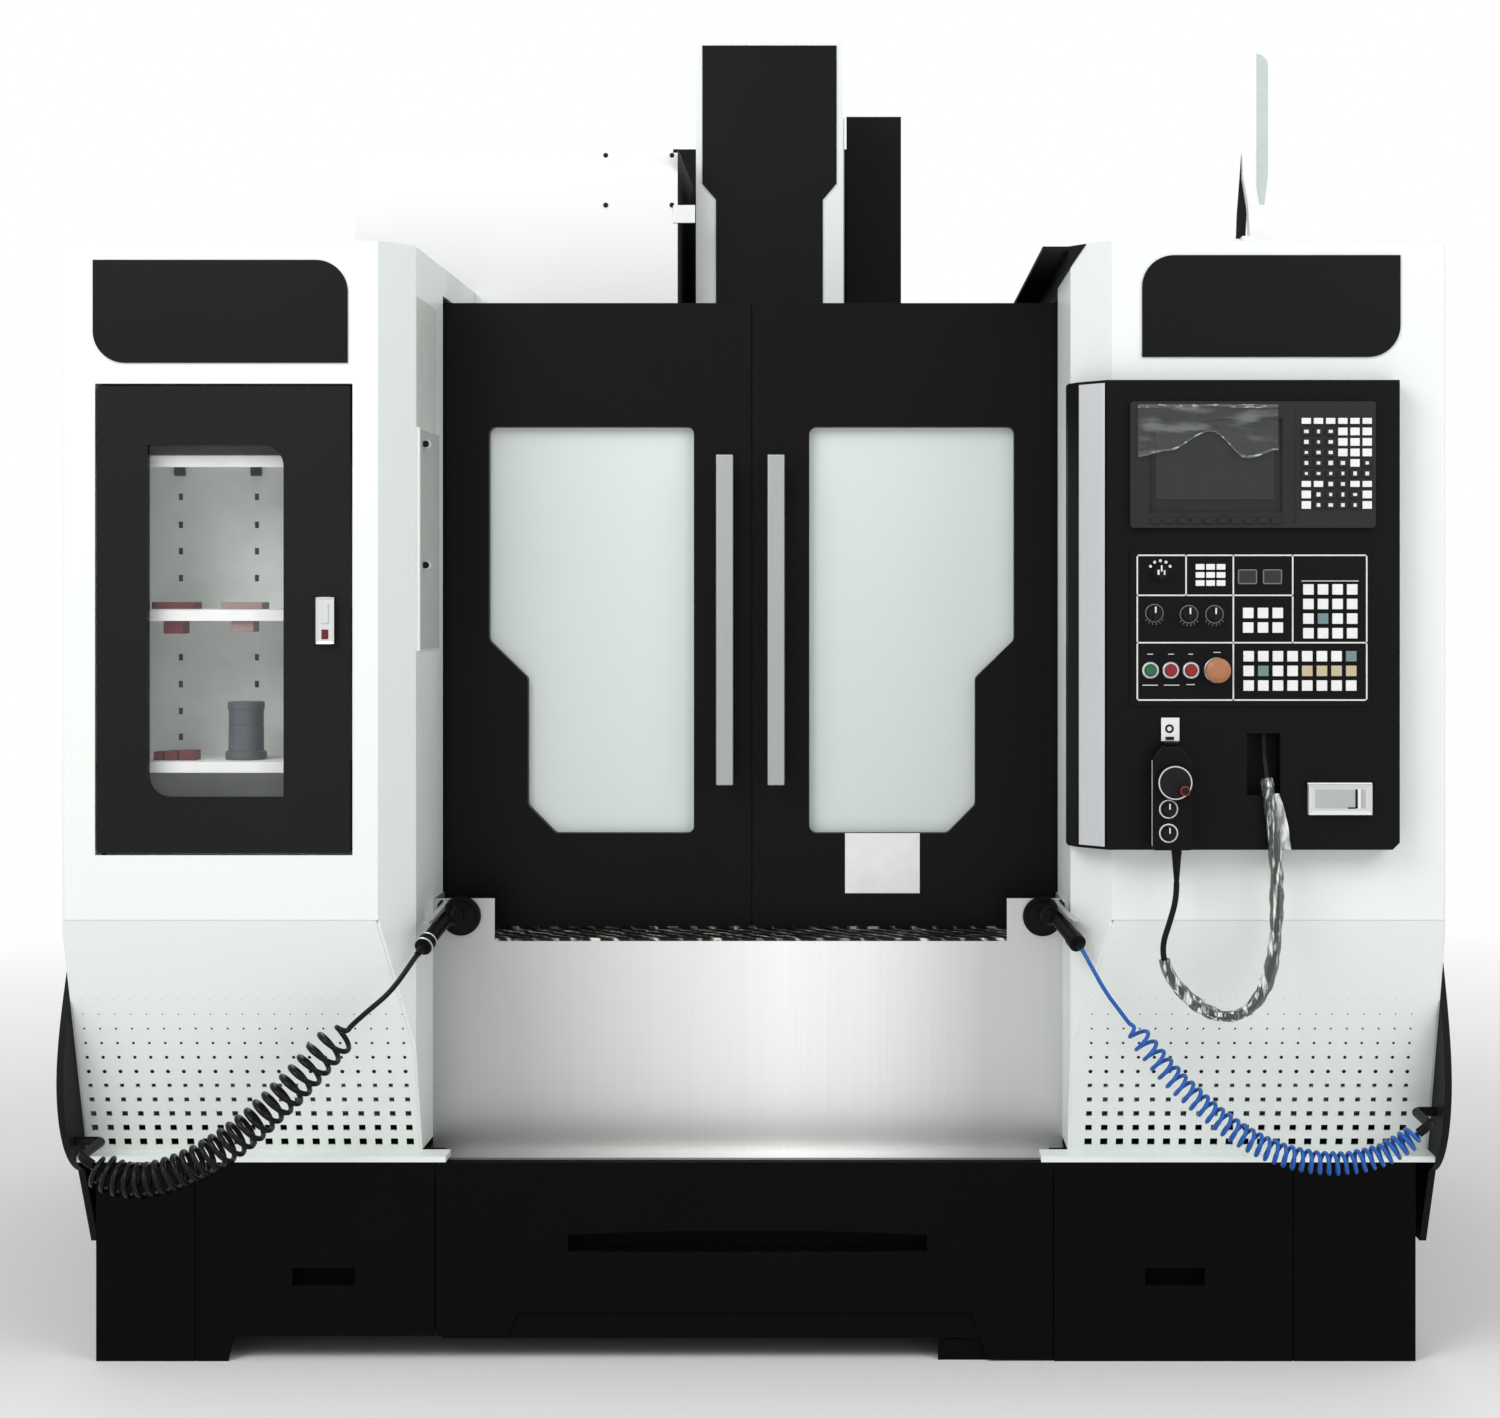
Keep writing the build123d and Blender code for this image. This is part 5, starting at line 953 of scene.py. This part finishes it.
def makeFrameLines():
    half = panel["line"] / 2
    back = panel["plateFront"]
    front = back - panel["lineRise"]
    columns, rows = frameLines["x"], frameLines["z"]
    shape = bmesh.new()
    for at, first, last in frameLines["uprights"]:
        x = columns[at]
        addSlab(shape, (x - half, front, rows[first] - half), (x + half, back, rows[last] + half))
    for at, first, last in frameLines["levels"]:
        z = rows[at]
        addSlab(shape, (columns[first] - half, front, z - half),
                (columns[last] + half, back, z + half))
    thin = frameLines["ruleHalf"]
    for x, z, wide in frameLines["rules"]:
        addSlab(shape, (x - wide / 2, front, z - thin), (x + wide / 2, back, z + thin))
    # arc of marks round the mode knob
    arc = frameLines["dotArc"]
    for angle in frameLines["dotAngles"]:
        turn = math.radians(90 + angle)
        spot = (0.685 + arc * math.cos(turn), front + 0.0003, 1.367 + arc * math.sin(turn))
        addDrum(shape, spot, frameLines["dot"], 0.0006, segments=16)
    fromBmesh("frameLines", shape, "legend")


makeFrameLines()

meters = {
    "x": (0.831, 0.873), "z": 1.359, "half": (0.016, 0.0125), "width": 0.002, "rise": 0.0032,
    "glass": (0.014, 0.0105), "glassRise": (0.0025, 0.0012),
}


def makeMeters():
    back, z = panel["plateFront"], meters["z"]
    wide, high = meters["half"]
    glassWide, glassHigh = meters["glass"]
    glassFront, glassBack = (back - rise for rise in meters["glassRise"])
    frames, glasses = [], []
    for x in meters["x"]:
        frames += frameBoxes(x - wide, x + wide, z - high, z + high, meters["width"],
                             back - meters["rise"], back)
        glasses.append(((x - glassWide, glassFront, z - glassHigh),
                        (x + glassWide, glassBack, z + glassHigh)))
    slabPiece("meterFrames", "trim", frames, bevel=0.0004)
    slabPiece("meterGlass", "screen", glasses)


makeMeters()

display = {
    "front": -1.132, "screen": (0.664, 0.890, 1.466, 1.625), "depth": 0.004,
    "margins": (0.012, 0.014, 0.022, 0.016),  # round the lit pane: left, right, low, high
    "rule": (0.9085, 0.9110, 1.450, 1.646),  # between the screen and the keyboard
    "keys": (0.979, 1.5495, 0.0204, 0.0176, 6, 9), "keyRise": 0.003, "capHalf": 0.0077,
    "lowRows": (2, 8),
}
# which keys of the keyboard are white, from its lowest row up
whiteRows = ["X....X", "X....X", "XX..XX", "......", "....X.", "...XXX", "...XXX", "...XXX",
             "XXXXXX"]


def makeDisplay():
    left, right, low, high = display["screen"]
    edge = display["margins"]
    front = display["front"]
    floor = front + display["depth"]
    pane = ((left + edge[0], floor - 0.0012, low + edge[2]),
            (right - edge[1], floor + 0.0002, high - edge[3]))
    slabPiece("screenPane", "screen", [pane], bevel=0.001, segments=2)
    rim = bmesh.new()
    for corners in frameBoxes(left, right, low, high, 0.002, front - 0.0004, floor):
        addSlab(rim, *corners, 0.0003)
    left, right, low, high = display["rule"]
    addSlab(rim, (left, front - 0.0012, low), (right, front, high), 0.0004)
    fromBmesh("screenRim", rim, "bezel")
    caps = bmesh.new()
    marks = bmesh.new()
    face = front - display["keyRise"]
    wide = display["capHalf"]
    random.seed(11)
    for column, row, x, z in fieldPlaces(display["keys"]):
        if whiteRows[row][column] == "X":
            tall = 0.0050 if row in display["lowRows"] else 0.0064
            addSlab(caps, (x - wide, face - 0.0008, z - tall), (x + wide, front, z + tall),
                    0.0006, 2)
        else:
            half = random.uniform(0.0022, 0.0038)
            tall = random.uniform(0.0022, 0.0036)
            addSlab(marks, (x - half, face - 0.0003, z - tall), (x + half, face + 0.001, z + tall))
    fromBmesh("keyboardCaps", caps, "white")
    fromBmesh("keyboardMarks", marks, "legend")


makeDisplay()

screenFilm = {
    "left": 0.646, "right": 0.881, "top": 1.648, "thickness": 0.0002, "columns": 64, "rows": 12,
    "edge": ((0, 0.089), (0.2, 0.079), (0.52, 0.046), (0.78, 0.091), (1, 0.077)),
}


def filmDrop(across):
    # how far down the peeled film reaches at each share of its width
    for (start, low), (end, high) in zip(screenFilm["edge"], screenFilm["edge"][1:]):
        if across <= end:
            share = (across - start) / (end - start)
            return low + (high - low) * (0.5 - 0.5 * math.cos(math.pi * share))
    return screenFilm["edge"][-1][1]


def makeFilmSheet(name, finish, first, last, columns, rows, lift):
    # a stretch of the film between two shares of its drop
    left, right = screenFilm["left"], screenFilm["right"]
    shape = bmesh.new()
    bmesh.ops.create_grid(shape, x_segments=columns, y_segments=rows, size=0.5)
    for vertex in shape.verts:
        across = vertex.co.x + 0.5
        down = first + (last - first) * (0.5 - vertex.co.y)
        ripple = 0.0014 * math.sin(across * 31 + down * 6) * down + 0.0006 * math.sin(across * 83)
        vertex.co = Vector((
            left + (right - left) * across,
            display["front"] - 0.0016 - lift - 0.0035 * down - ripple,
            screenFilm["top"] - filmDrop(across) * down,
        ))
    bmesh.ops.recalc_face_normals(shape, faces=shape.faces)
    bmesh.ops.solidify(shape, geom=shape.faces[:], thickness=screenFilm["thickness"])
    return fromBmesh(name, shape, finish, smooth=True)


def makeScreenFilm():
    # protective film, peeled up from the screen in a wavy edge, with a creased hem
    makeFilmSheet("screenFilm", "veil", 0.06, 0.97, screenFilm["columns"], screenFilm["rows"], 0)
    makeFilmSheet("filmHem", "hem", 0.95, 1.0, screenFilm["columns"], 2, 0.0006)
    makeFilmSheet("filmTop", "hem", 0.0, 0.075, screenFilm["columns"], 2, 0.0006)


makeScreenFilm()


# Bright strip on the panel's slanted left side
strip = {"inner": (0.551, -1.075, 0), "outer": (0.597, -1.120, 0), "low": 0.905, "high": 1.685,
         "margin": 0.07, "lift": 0.0021, "thickness": 0.0012, "round": 0.0006}


def makeStrip():
    inner, outer = Vector(strip["inner"]), Vector(strip["outer"])
    along = (outer - inner).normalized()
    proud = Vector((along.y, -along.x, 0))
    near, far = strip["margin"], 1 - strip["margin"]
    corners = []
    for share, z in ((near, strip["low"]), (far, strip["low"]), (far, strip["high"]),
                     (near, strip["high"])):
        corners.append(inner.lerp(outer, share) + Vector((0, 0, z)) + proud * strip["lift"])
    shape = bmesh.new()
    extrudeFace(shape, corners, proud * strip["thickness"])
    roundEdges(shape, shape.edges[:], strip["round"], 2)
    fromBmesh("panelStrip", shape, "bright")


makeStrip()


# Bright rings round the buttons: middle, inner and outer radius, rise
buttonZ = 1.202
buttonRings = [(0.668, 0.0100, 0.0142, 0.0078), (0.702, 0.0100, 0.0142, 0.0078),
               (0.736, 0.0100, 0.0142, 0.0078), (0.780, 0.0176, 0.0215, 0.0016)]


def makeRings():
    shape = bmesh.new()
    base = panel["plateFront"]
    for x, inner, outer, depth in buttonRings:
        profile = [(inner, 0), (inner, depth - 0.0006), (inner + 0.0008, depth),
                   (outer - 0.0014, depth), (outer, depth - 0.0014), (outer, 0)]
        points = [(x + radius, base - rise, buttonZ) for radius, rise in profile]
        spinProfile(shape, points, (x, base, buttonZ))
    bmesh.ops.remove_doubles(shape, verts=shape.verts, dist=0.00001)
    bmesh.ops.recalc_face_normals(shape, faces=shape.faces)
    fromBmesh("buttonRings", shape, "bright")


makeRings()
print("operator panel dressed")


# Framed covers: the store cabinet's latch and the port's flip cover
framedPlates = {
    "latchFrame": {"box": (-0.7415, -0.7105, 1.2455, 1.3245), "front": -1.0873,
                   "body": "cabinet_latch", "inset": 0.0055},
    "portFrame": {"box": (0.9325, 1.0395, 0.9595, 1.0108), "front": -1.1303,
                  "body": "port_latch", "inset": 0.0095},
}
plateRise, plateDish = 0.0016, 0.0013


def makeFramedPlate(name, settings):
    left, right, low, high = settings["box"]
    front = settings["front"]
    shape = bmesh.new()
    addSlab(shape, (left, front - plateRise, low), (right, front, high))
    shape.faces.ensure_lookup_table()
    face = min(shape.faces, key=lambda item: item.calc_center_median().y)
    bmesh.ops.inset_region(shape, faces=[face], thickness=settings["inset"], depth=-plateDish)
    rim = [edge for edge in shape.edges
           if all(abs(vert.co.y - front + plateRise) < 0.00001 for vert in edge.verts)]
    roundEdges(shape, rim, 0.0005, 2)
    fromBmesh(name, shape, "aluminium", settings["body"])


for name, settings in framedPlates.items():
    makeFramedPlate(name, settings)

latchParts = [
    # name, finish, slot, body, bevel, segments and the corners of each slab
    ("latchLever", "recess", "bare_aluminium", "cabinet_latch", 0.0012, 2,
     [((-0.7330, -1.0905, 1.2800), (-0.7200, -1.0875, 1.3140))]),
    ("latchButton", "carton", "red_plastic", "cabinet_latch", 0.0010, 2,
     [((-0.7320, -1.0895, 1.2535), (-0.7205, -1.0875, 1.2700))]),
    ("portPull", "white", "bare_aluminium", "port_latch", 0.0010, 2,
     [((1.0150, -1.1330, 0.9700), (1.0200, -1.1305, 1.0030))]),
    ("portInset", "shade", "bare_aluminium", "port_latch", 0, 1,
     [((0.9435, -1.1308, 0.9705), (1.0285, -1.1303, 1.0025))]),
    ("portNotch", "black", "black_plastic", "port_latch", 0, 1,
     [((1.0110, -1.1312, 0.9705), (1.0147, -1.1303, 1.0025)),
      ((0.9985, -1.1312, 0.9700), (1.0110, -1.1303, 0.9725))]),
]
for name, finish, slotName, body, bevel, segments, boxes in latchParts:
    slabPiece(name, finish, boxes, body, bevel, segments)


# Pendant: hanger, rings round the wheel and the selectors, and the wheel's grip
pendant = {
    "front": -1.1603, "wheel": (0.703, 1.017), "wheelFront": -1.1783, "wheelRadius": 0.0282,
    "selectorX": 0.694, "selectors": {"axis_knob": 0.972, "rate_knob": 0.932},
    "ring": (0.0136, 0.0158), "hangerFront": -1.1255, "eye": (0.7000, 1.1040),
    "eyeRing": (0.0040, 0.0074), "grip": (0.717, -1.1928, 1.005),
    "pointer": (-1.1788, -1.1782, 0.0010, 0.0105),
}


def makePendantParts():
    front, x = pendant["hangerFront"], pendant["selectorX"]
    slabPiece("pendantHanger", "white",
              [((0.6862, front, 1.0830), (0.7168, front + 0.0013, 1.1225))], bevel=0.0005)
    eye = bmesh.new()
    addRing(eye, pendant["eye"], *pendant["eyeRing"], front, 0.0006)
    addSlab(eye, (0.6935, front - 0.0006, 1.0850), (0.7075, front, 1.0905))
    rings = bmesh.new()
    for z in pendant["selectors"].values():
        addRing(rings, (x, z), *pendant["ring"], pendant["front"] + 0.0003, 0.0014)
    # pale line down the housing's left edge, a painted highlight
    addSlab(rings, (0.6674, -1.1535, 0.9100), (0.6684, -1.1485, 1.0530))
    rim = bmesh.new()
    radius = pendant["wheelRadius"]
    addRing(rim, pendant["wheel"], radius - 0.0022, radius, pendant["wheelFront"] + 0.0002, 0.0010)
    for shape in (eye, rings, rim):
        bmesh.ops.recalc_face_normals(shape, faces=shape.faces)
    fromBmesh("hangerEye", eye, "black")
    fromBmesh("selectorRings", rings, "white")
    fromBmesh("wheelRim", rim, "bright", "handwheel")
    grip = bmesh.new()
    addDrum(grip, pendant["grip"], 0.0082, 0.0096, segments=32)
    fromBmesh("gripCap", grip, "red", "handwheel")
    front, back, low, high = pendant["pointer"]
    for body, z in pendant["selectors"].items():
        slabPiece(body + "Mark", "legend",
                  [((x - 0.0011, front, z + low), (x + 0.0011, back, z + high))], body)


makePendantParts()


# Pointers on the panel's knobs, two painted highlights on the mode knob, their rings and the
# crescent scales under three of them
knobs = {"mode_knob": (0.685, 1.367), "feed_knob": (0.675, 1.298), "rapid_knob": (0.733, 1.296),
         "speed_knob": (0.776, 1.296)}
pointer = (-0.0014, 0.0014, 0.0005, 0.0110)  # left, right, low and high from the knob's middle
# two pale petals on the mode knob's face: painted highlights
modeHighlights = [(-0.0070, -0.0035, -0.0050, 0.0035), (0.0035, 0.0060, -0.0050, 0.0030)]
knobFront, knobBack = -1.1418, -1.1411
scale = {"radius": 0.0185, "dot": 0.0011, "angles": range(-50, 51, 20)}


def makeKnobMarks():
    rings = bmesh.new()
    for body, (x, z) in knobs.items():
        signs = [pointer] + (modeHighlights if body == "mode_knob" else [])
        boxes = [((x + left, knobFront, z + low), (x + right, knobBack, z + high))
                 for left, right, low, high in signs]
        slabPiece(body + "Mark", "legend", boxes, body, 0.0003)
        if body != "mode_knob":
            addRing(rings, (x, z), 0.0138, 0.0156, panel["plateFront"], 0.0012)
    for x, z in list(knobs.values())[1:]:
        for angle in scale["angles"]:
            turn = math.radians(270 + angle)
            spot = (x + scale["radius"] * math.cos(turn), panel["plateFront"] - 0.0003,
                    z + scale["radius"] * math.sin(turn))
            addDrum(rings, spot, scale["dot"], 0.0006, segments=12)
    bmesh.ops.recalc_face_normals(rings, faces=rings.faces)
    fromBmesh("knobRings", rings, "trim")


makeKnobMarks()
print("small fittings made")


# Caps with two collars and tapered reliefs where the hoses leave the two guns
gunFittings = {
    "airGun": {"head": airGunHead, "end": airGunEnd, "radius": 0.0172, "cap": 0.0158,
               "rings": "bright", "relief": (0.0080, 0.0052, 0.026)},
    "coolantGun": {"head": coolantGunHead, "end": coolantGunEnd, "radius": 0.0132, "cap": 0.0126,
                   "rings": "gun", "relief": (0.0068, 0.0042, 0.020)},
}
collarOffsets, collarDepth, capDepth = (-0.003, -0.021), 0.0030, 0.018


def makeGunFittings(name, settings):
    along = (settings["end"] - settings["head"]).normalized()
    end = settings["end"] / 1000
    turn = along.to_track_quat("Z", "Y").to_matrix().to_4x4()

    def addTube(shape, offset, radius, depth, farRadius, segments=40):
        matrix = Matrix.Translation(end + along * offset) @ turn
        made = bmesh.ops.create_cone(
            shape, cap_ends=True, segments=segments, radius1=radius, radius2=farRadius,
            depth=depth, matrix=matrix,
        )
        return made["verts"]

    wide, narrow, length = settings["relief"]
    relief = bmesh.new()
    addTube(relief, length / 2 - 0.001, wide, length, narrow, 32)
    fromBmesh(name + "Relief", relief, "gun")
    collar = bmesh.new()
    radius = settings["radius"]
    for offset in collarOffsets:
        roundEdges(collar, edgesOf(addTube(collar, offset, radius, collarDepth, radius)), 0.0006)
    fromBmesh(name + "Collar", collar, settings["rings"])
    cap = bmesh.new()
    addTube(cap, sum(collarOffsets) / 2, settings["cap"], capDepth, settings["cap"])
    fromBmesh(name + "Cap", cap, "gun")


for name, settings in gunFittings.items():
    makeGunFittings(name, settings)


# Upper rows of perforation as black dots, painted shade of the holes' dark inside, which shrink
# upwards on both sloping panels
vents = {"frontY": -1.075, "kinkZ": 0.776, "bottomZ": 0.355, "setback": 0.130, "pitch": 0.0275,
         "edge": 0.016, "columns": 21, "firstRow": 5, "rows": 6, "left": -0.608, "right": 0.5805,
         "size": 0.0036, "shrink": 0.00030}


def makeVentHoleShade():
    slope = Vector((0, vents["setback"], vents["bottomZ"] - vents["kinkZ"]))
    run = slope.length
    down = slope.normalized()
    out = Vector((0, down.z, -down.y))
    shape = bmesh.new()
    top = Vector((0, vents["frontY"], vents["kinkZ"]))
    turn = Matrix(((1, 0, 0), (0, out.y, down.y), (0, out.z, down.z))).to_4x4()
    for row in range(vents["rows"]):
        level = vents["firstRow"] + row
        radius = vents["size"] - row * vents["shrink"] * 2
        for start, way in ((vents["left"], -1), (vents["right"], 1)):
            for column in range(vents["columns"]):
                x = start + way * column * vents["pitch"]
                place = top + down * (run - vents["edge"] - level * vents["pitch"]) + out * 0.0001
                place.x = x
                matrix = Matrix.Translation(place) @ turn
                bmesh.ops.create_cone(shape, cap_ends=True, segments=8, radius1=radius,
                                      radius2=radius * 0.8, depth=0.0006,
                                      matrix=matrix @ Matrix.Rotation(math.pi / 2, 4, "X"))
    return fromBmesh("ventHoleShade", shape, "side")


makeVentHoleShade()


# Inside of the store cabinet: slotted back, folded shelves and what is kept on them
store = {
    "left": -1.174, "right": -0.592, "shelfRight": -0.650, "back": -0.877, "backFront": -0.880,
    "front": -1.040, "low": 0.862, "top": 1.700, "shelves": (0.884, 1.044, 1.3045, 1.5685),
    "lip": 0.0205, "sheet": 0.002, "slotX": (-1.030, -0.8945), "slot": (0.0036, 0.0058),
    "slotZ": (1.076, 1.122, 1.170, 1.218, 1.359, 1.407, 1.454, 1.504),
    "hook": (0.009, 0.012, 1.541, 1.560),
}
cartons = [
    # left, right, front, back, low, high and finish
    (-1.036, -0.963, -1.034, -0.985, 1.3045, 1.3165, "carton"),
    (-0.917, -0.846, -1.034, -0.985, 1.3045, 1.3165, "faded"),
    (-1.034, -1.020, -1.030, -0.995, 1.0440, 1.0590, "carton"),
    (-1.015, -0.993, -1.030, -0.995, 1.0440, 1.0600, "carton"),
    (-0.990, -0.962, -1.032, -0.995, 1.0440, 1.0610, "carton"),
    (-1.017, -0.983, -1.030, -0.990, 1.2620, 1.2842, "carton"),
    (-0.900, -0.862, -1.030, -0.990, 1.2650, 1.2842, "faded"),
]
canister = {
    "place": (-0.8835, -0.995, 1.044), "steps": 48,
    "profile": [(0, 0.0), (0.0340, 0.0), (0.0350, 0.0015), (0.0350, 0.0120), (0.0335, 0.0140),
                (0.0300, 0.0160), (0.0296, 0.0580), (0.0288, 0.0595), (0.0296, 0.0610),
                (0.0296, 0.0860), (0.0312, 0.0875), (0.0312, 0.0980), (0.0295, 0.1000),
                (0, 0.1005)],
}


def makeStore():
    left, back, front = store["left"], store["backFront"], store["front"]
    wall = ((left, back, store["low"]), (store["right"], store["back"], store["top"]))
    storeWall = slabPiece("storeWall", "wall", [wall])
    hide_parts("cabinet_shelves")
    # the slots are thin black slabs, painted shade of the holes; the hooks are black
    slots = bmesh.new()
    wide, high = store["slot"]
    hookWide, hookDeep, hookLow, hookHigh = store["hook"]
    for x in store["slotX"]:
        for z in store["slotZ"]:
            addSlab(slots, (x - wide, back - 0.0003, z - high), (x + wide, back, z + high), 0.0002)
        addSlab(slots, (x - hookWide, back - hookDeep, hookLow), (x + hookWide, back, hookHigh),
                0.001)
    fromBmesh("storeSlotShadeAndHooks", slots, "black")
    shelves = bmesh.new()
    right, sheet, lip = store["shelfRight"], store["sheet"], store["lip"]
    for level in store["shelves"]:
        addSlab(shelves, (left, front, level - sheet), (right, back, level), 0.0006, 2)
        addSlab(shelves, (left, front, level - lip), (right, front + sheet, level - 0.0002),
                0.0006, 2)
        addSlab(shelves, (left, back - sheet, level - lip), (right, back, level - 0.0002))
    fromBmesh("storeShelves", shelves, "shelf")
    for finish in ("carton", "faded"):
        boxes = [((box[0], box[2], box[4]), (box[1], box[3], box[5]))
                 for box in cartons if box[6] == finish]
        slabPiece(finish + "Boxes", finish, boxes, bevel=0.0012, segments=2)
    can = bmesh.new()
    x, y, z = canister["place"]
    spinProfile(can, [(x + radius, y, z + rise) for radius, rise in canister["profile"]], (x, y, z),
                (0, 0, 1), canister["steps"], closed=False)
    bmesh.ops.remove_doubles(can, verts=can.verts, dist=0.00001)
    bmesh.ops.recalc_face_normals(can, faces=can.faces)
    fromBmesh("canister", can, "canister")


makeStore()
print("panels and store dressed")


# Floor and light
def makeStage():
    shape = bmesh.new()
    bmesh.ops.create_grid(shape, x_segments=1, y_segments=1, size=30)
    mesh = bpy.data.meshes.new("floor")
    shape.to_mesh(mesh)
    shape.free()
    floor = bpy.data.objects.new("floor", mesh)
    bpy.context.scene.collection.objects.link(floor)
    made = Graph("floorPaint")
    flat = made.node("ShaderNodeVectorMath", {"operation": "LENGTH"}, {0: made.place}, "Value")
    far = (flat - 2.2) * 0.35
    pale = {"Base Color": (0.93, 0.93, 0.93, 1), "Roughness": 0.7}
    matt = made.node("ShaderNodeBsdfPrincipled", inputs=pale)
    glow = made.node("ShaderNodeEmission", inputs={"Color": (1, 1, 1, 1), "Strength": 1.0})
    clamp = made.node("ShaderNodeClamp", inputs={0: far})
    mixed = made.node("ShaderNodeMixShader", inputs={0: clamp, 1: matt, 2: glow})
    made.tree.links.new(mixed.socket, made.end.inputs["Surface"])
    mesh.materials.append(made.material)


def makeWorld(lighting, backdrop):
    # white all round, and less of it in the light it throws than in what is seen
    world = bpy.data.worlds.new("studio")
    bpy.context.scene.world = world
    world.use_nodes = True
    tree = world.node_tree
    tree.nodes.clear()
    path = tree.nodes.new("ShaderNodeLightPath")
    seen = path.outputs["Is Camera Ray"]
    for ray in ("Is Glossy Ray", "Is Transmission Ray"):
        either = tree.nodes.new("ShaderNodeMath")
        either.operation = "MAXIMUM"
        tree.links.new(seen, either.inputs[0])
        tree.links.new(path.outputs[ray], either.inputs[1])
        seen = either.outputs[0]
    mixed = tree.nodes.new("ShaderNodeMixShader")
    tree.links.new(seen, mixed.inputs[0])
    for slot, strength in ((1, lighting), (2, backdrop)):
        white = tree.nodes.new("ShaderNodeBackground")
        white.inputs["Color"].default_value = (1, 1, 1, 1)
        white.inputs["Strength"].default_value = strength
        tree.links.new(white.outputs[0], mixed.inputs[slot])
    end = tree.nodes.new("ShaderNodeOutputWorld")
    tree.links.new(mixed.outputs[0], end.inputs["Surface"])


lamps = [
    # name, place, aim, size and power
    ("keyLamp", (-2.4, -3.9, 3.9), (-0.4, -0.9, 1.5), 2.6, 96),
    ("fillLamp", (3.2, -3.7, 3.6), (0.6, -0.9, 1.4), 2.6, 62),
    ("backLamp", (0.5, 4.5, 4.5), (0, 0, 1.2), 3.0, 90),
]


def makeLamp(name, place, aim, size, power):
    data = bpy.data.lights.new(name, "AREA")
    data.shape = "SQUARE"
    data.size = size
    data.energy = power
    light = bpy.data.objects.new(name, data)
    light.location = place
    way = Vector(aim) - Vector(place)
    light.rotation_euler = way.to_track_quat("-Z", "Y").to_euler()
    bpy.context.scene.collection.objects.link(light)


makeStage()
makeWorld(0.52, 1.0)
for settings in lamps:
    makeLamp(*settings)
print("stage lit")
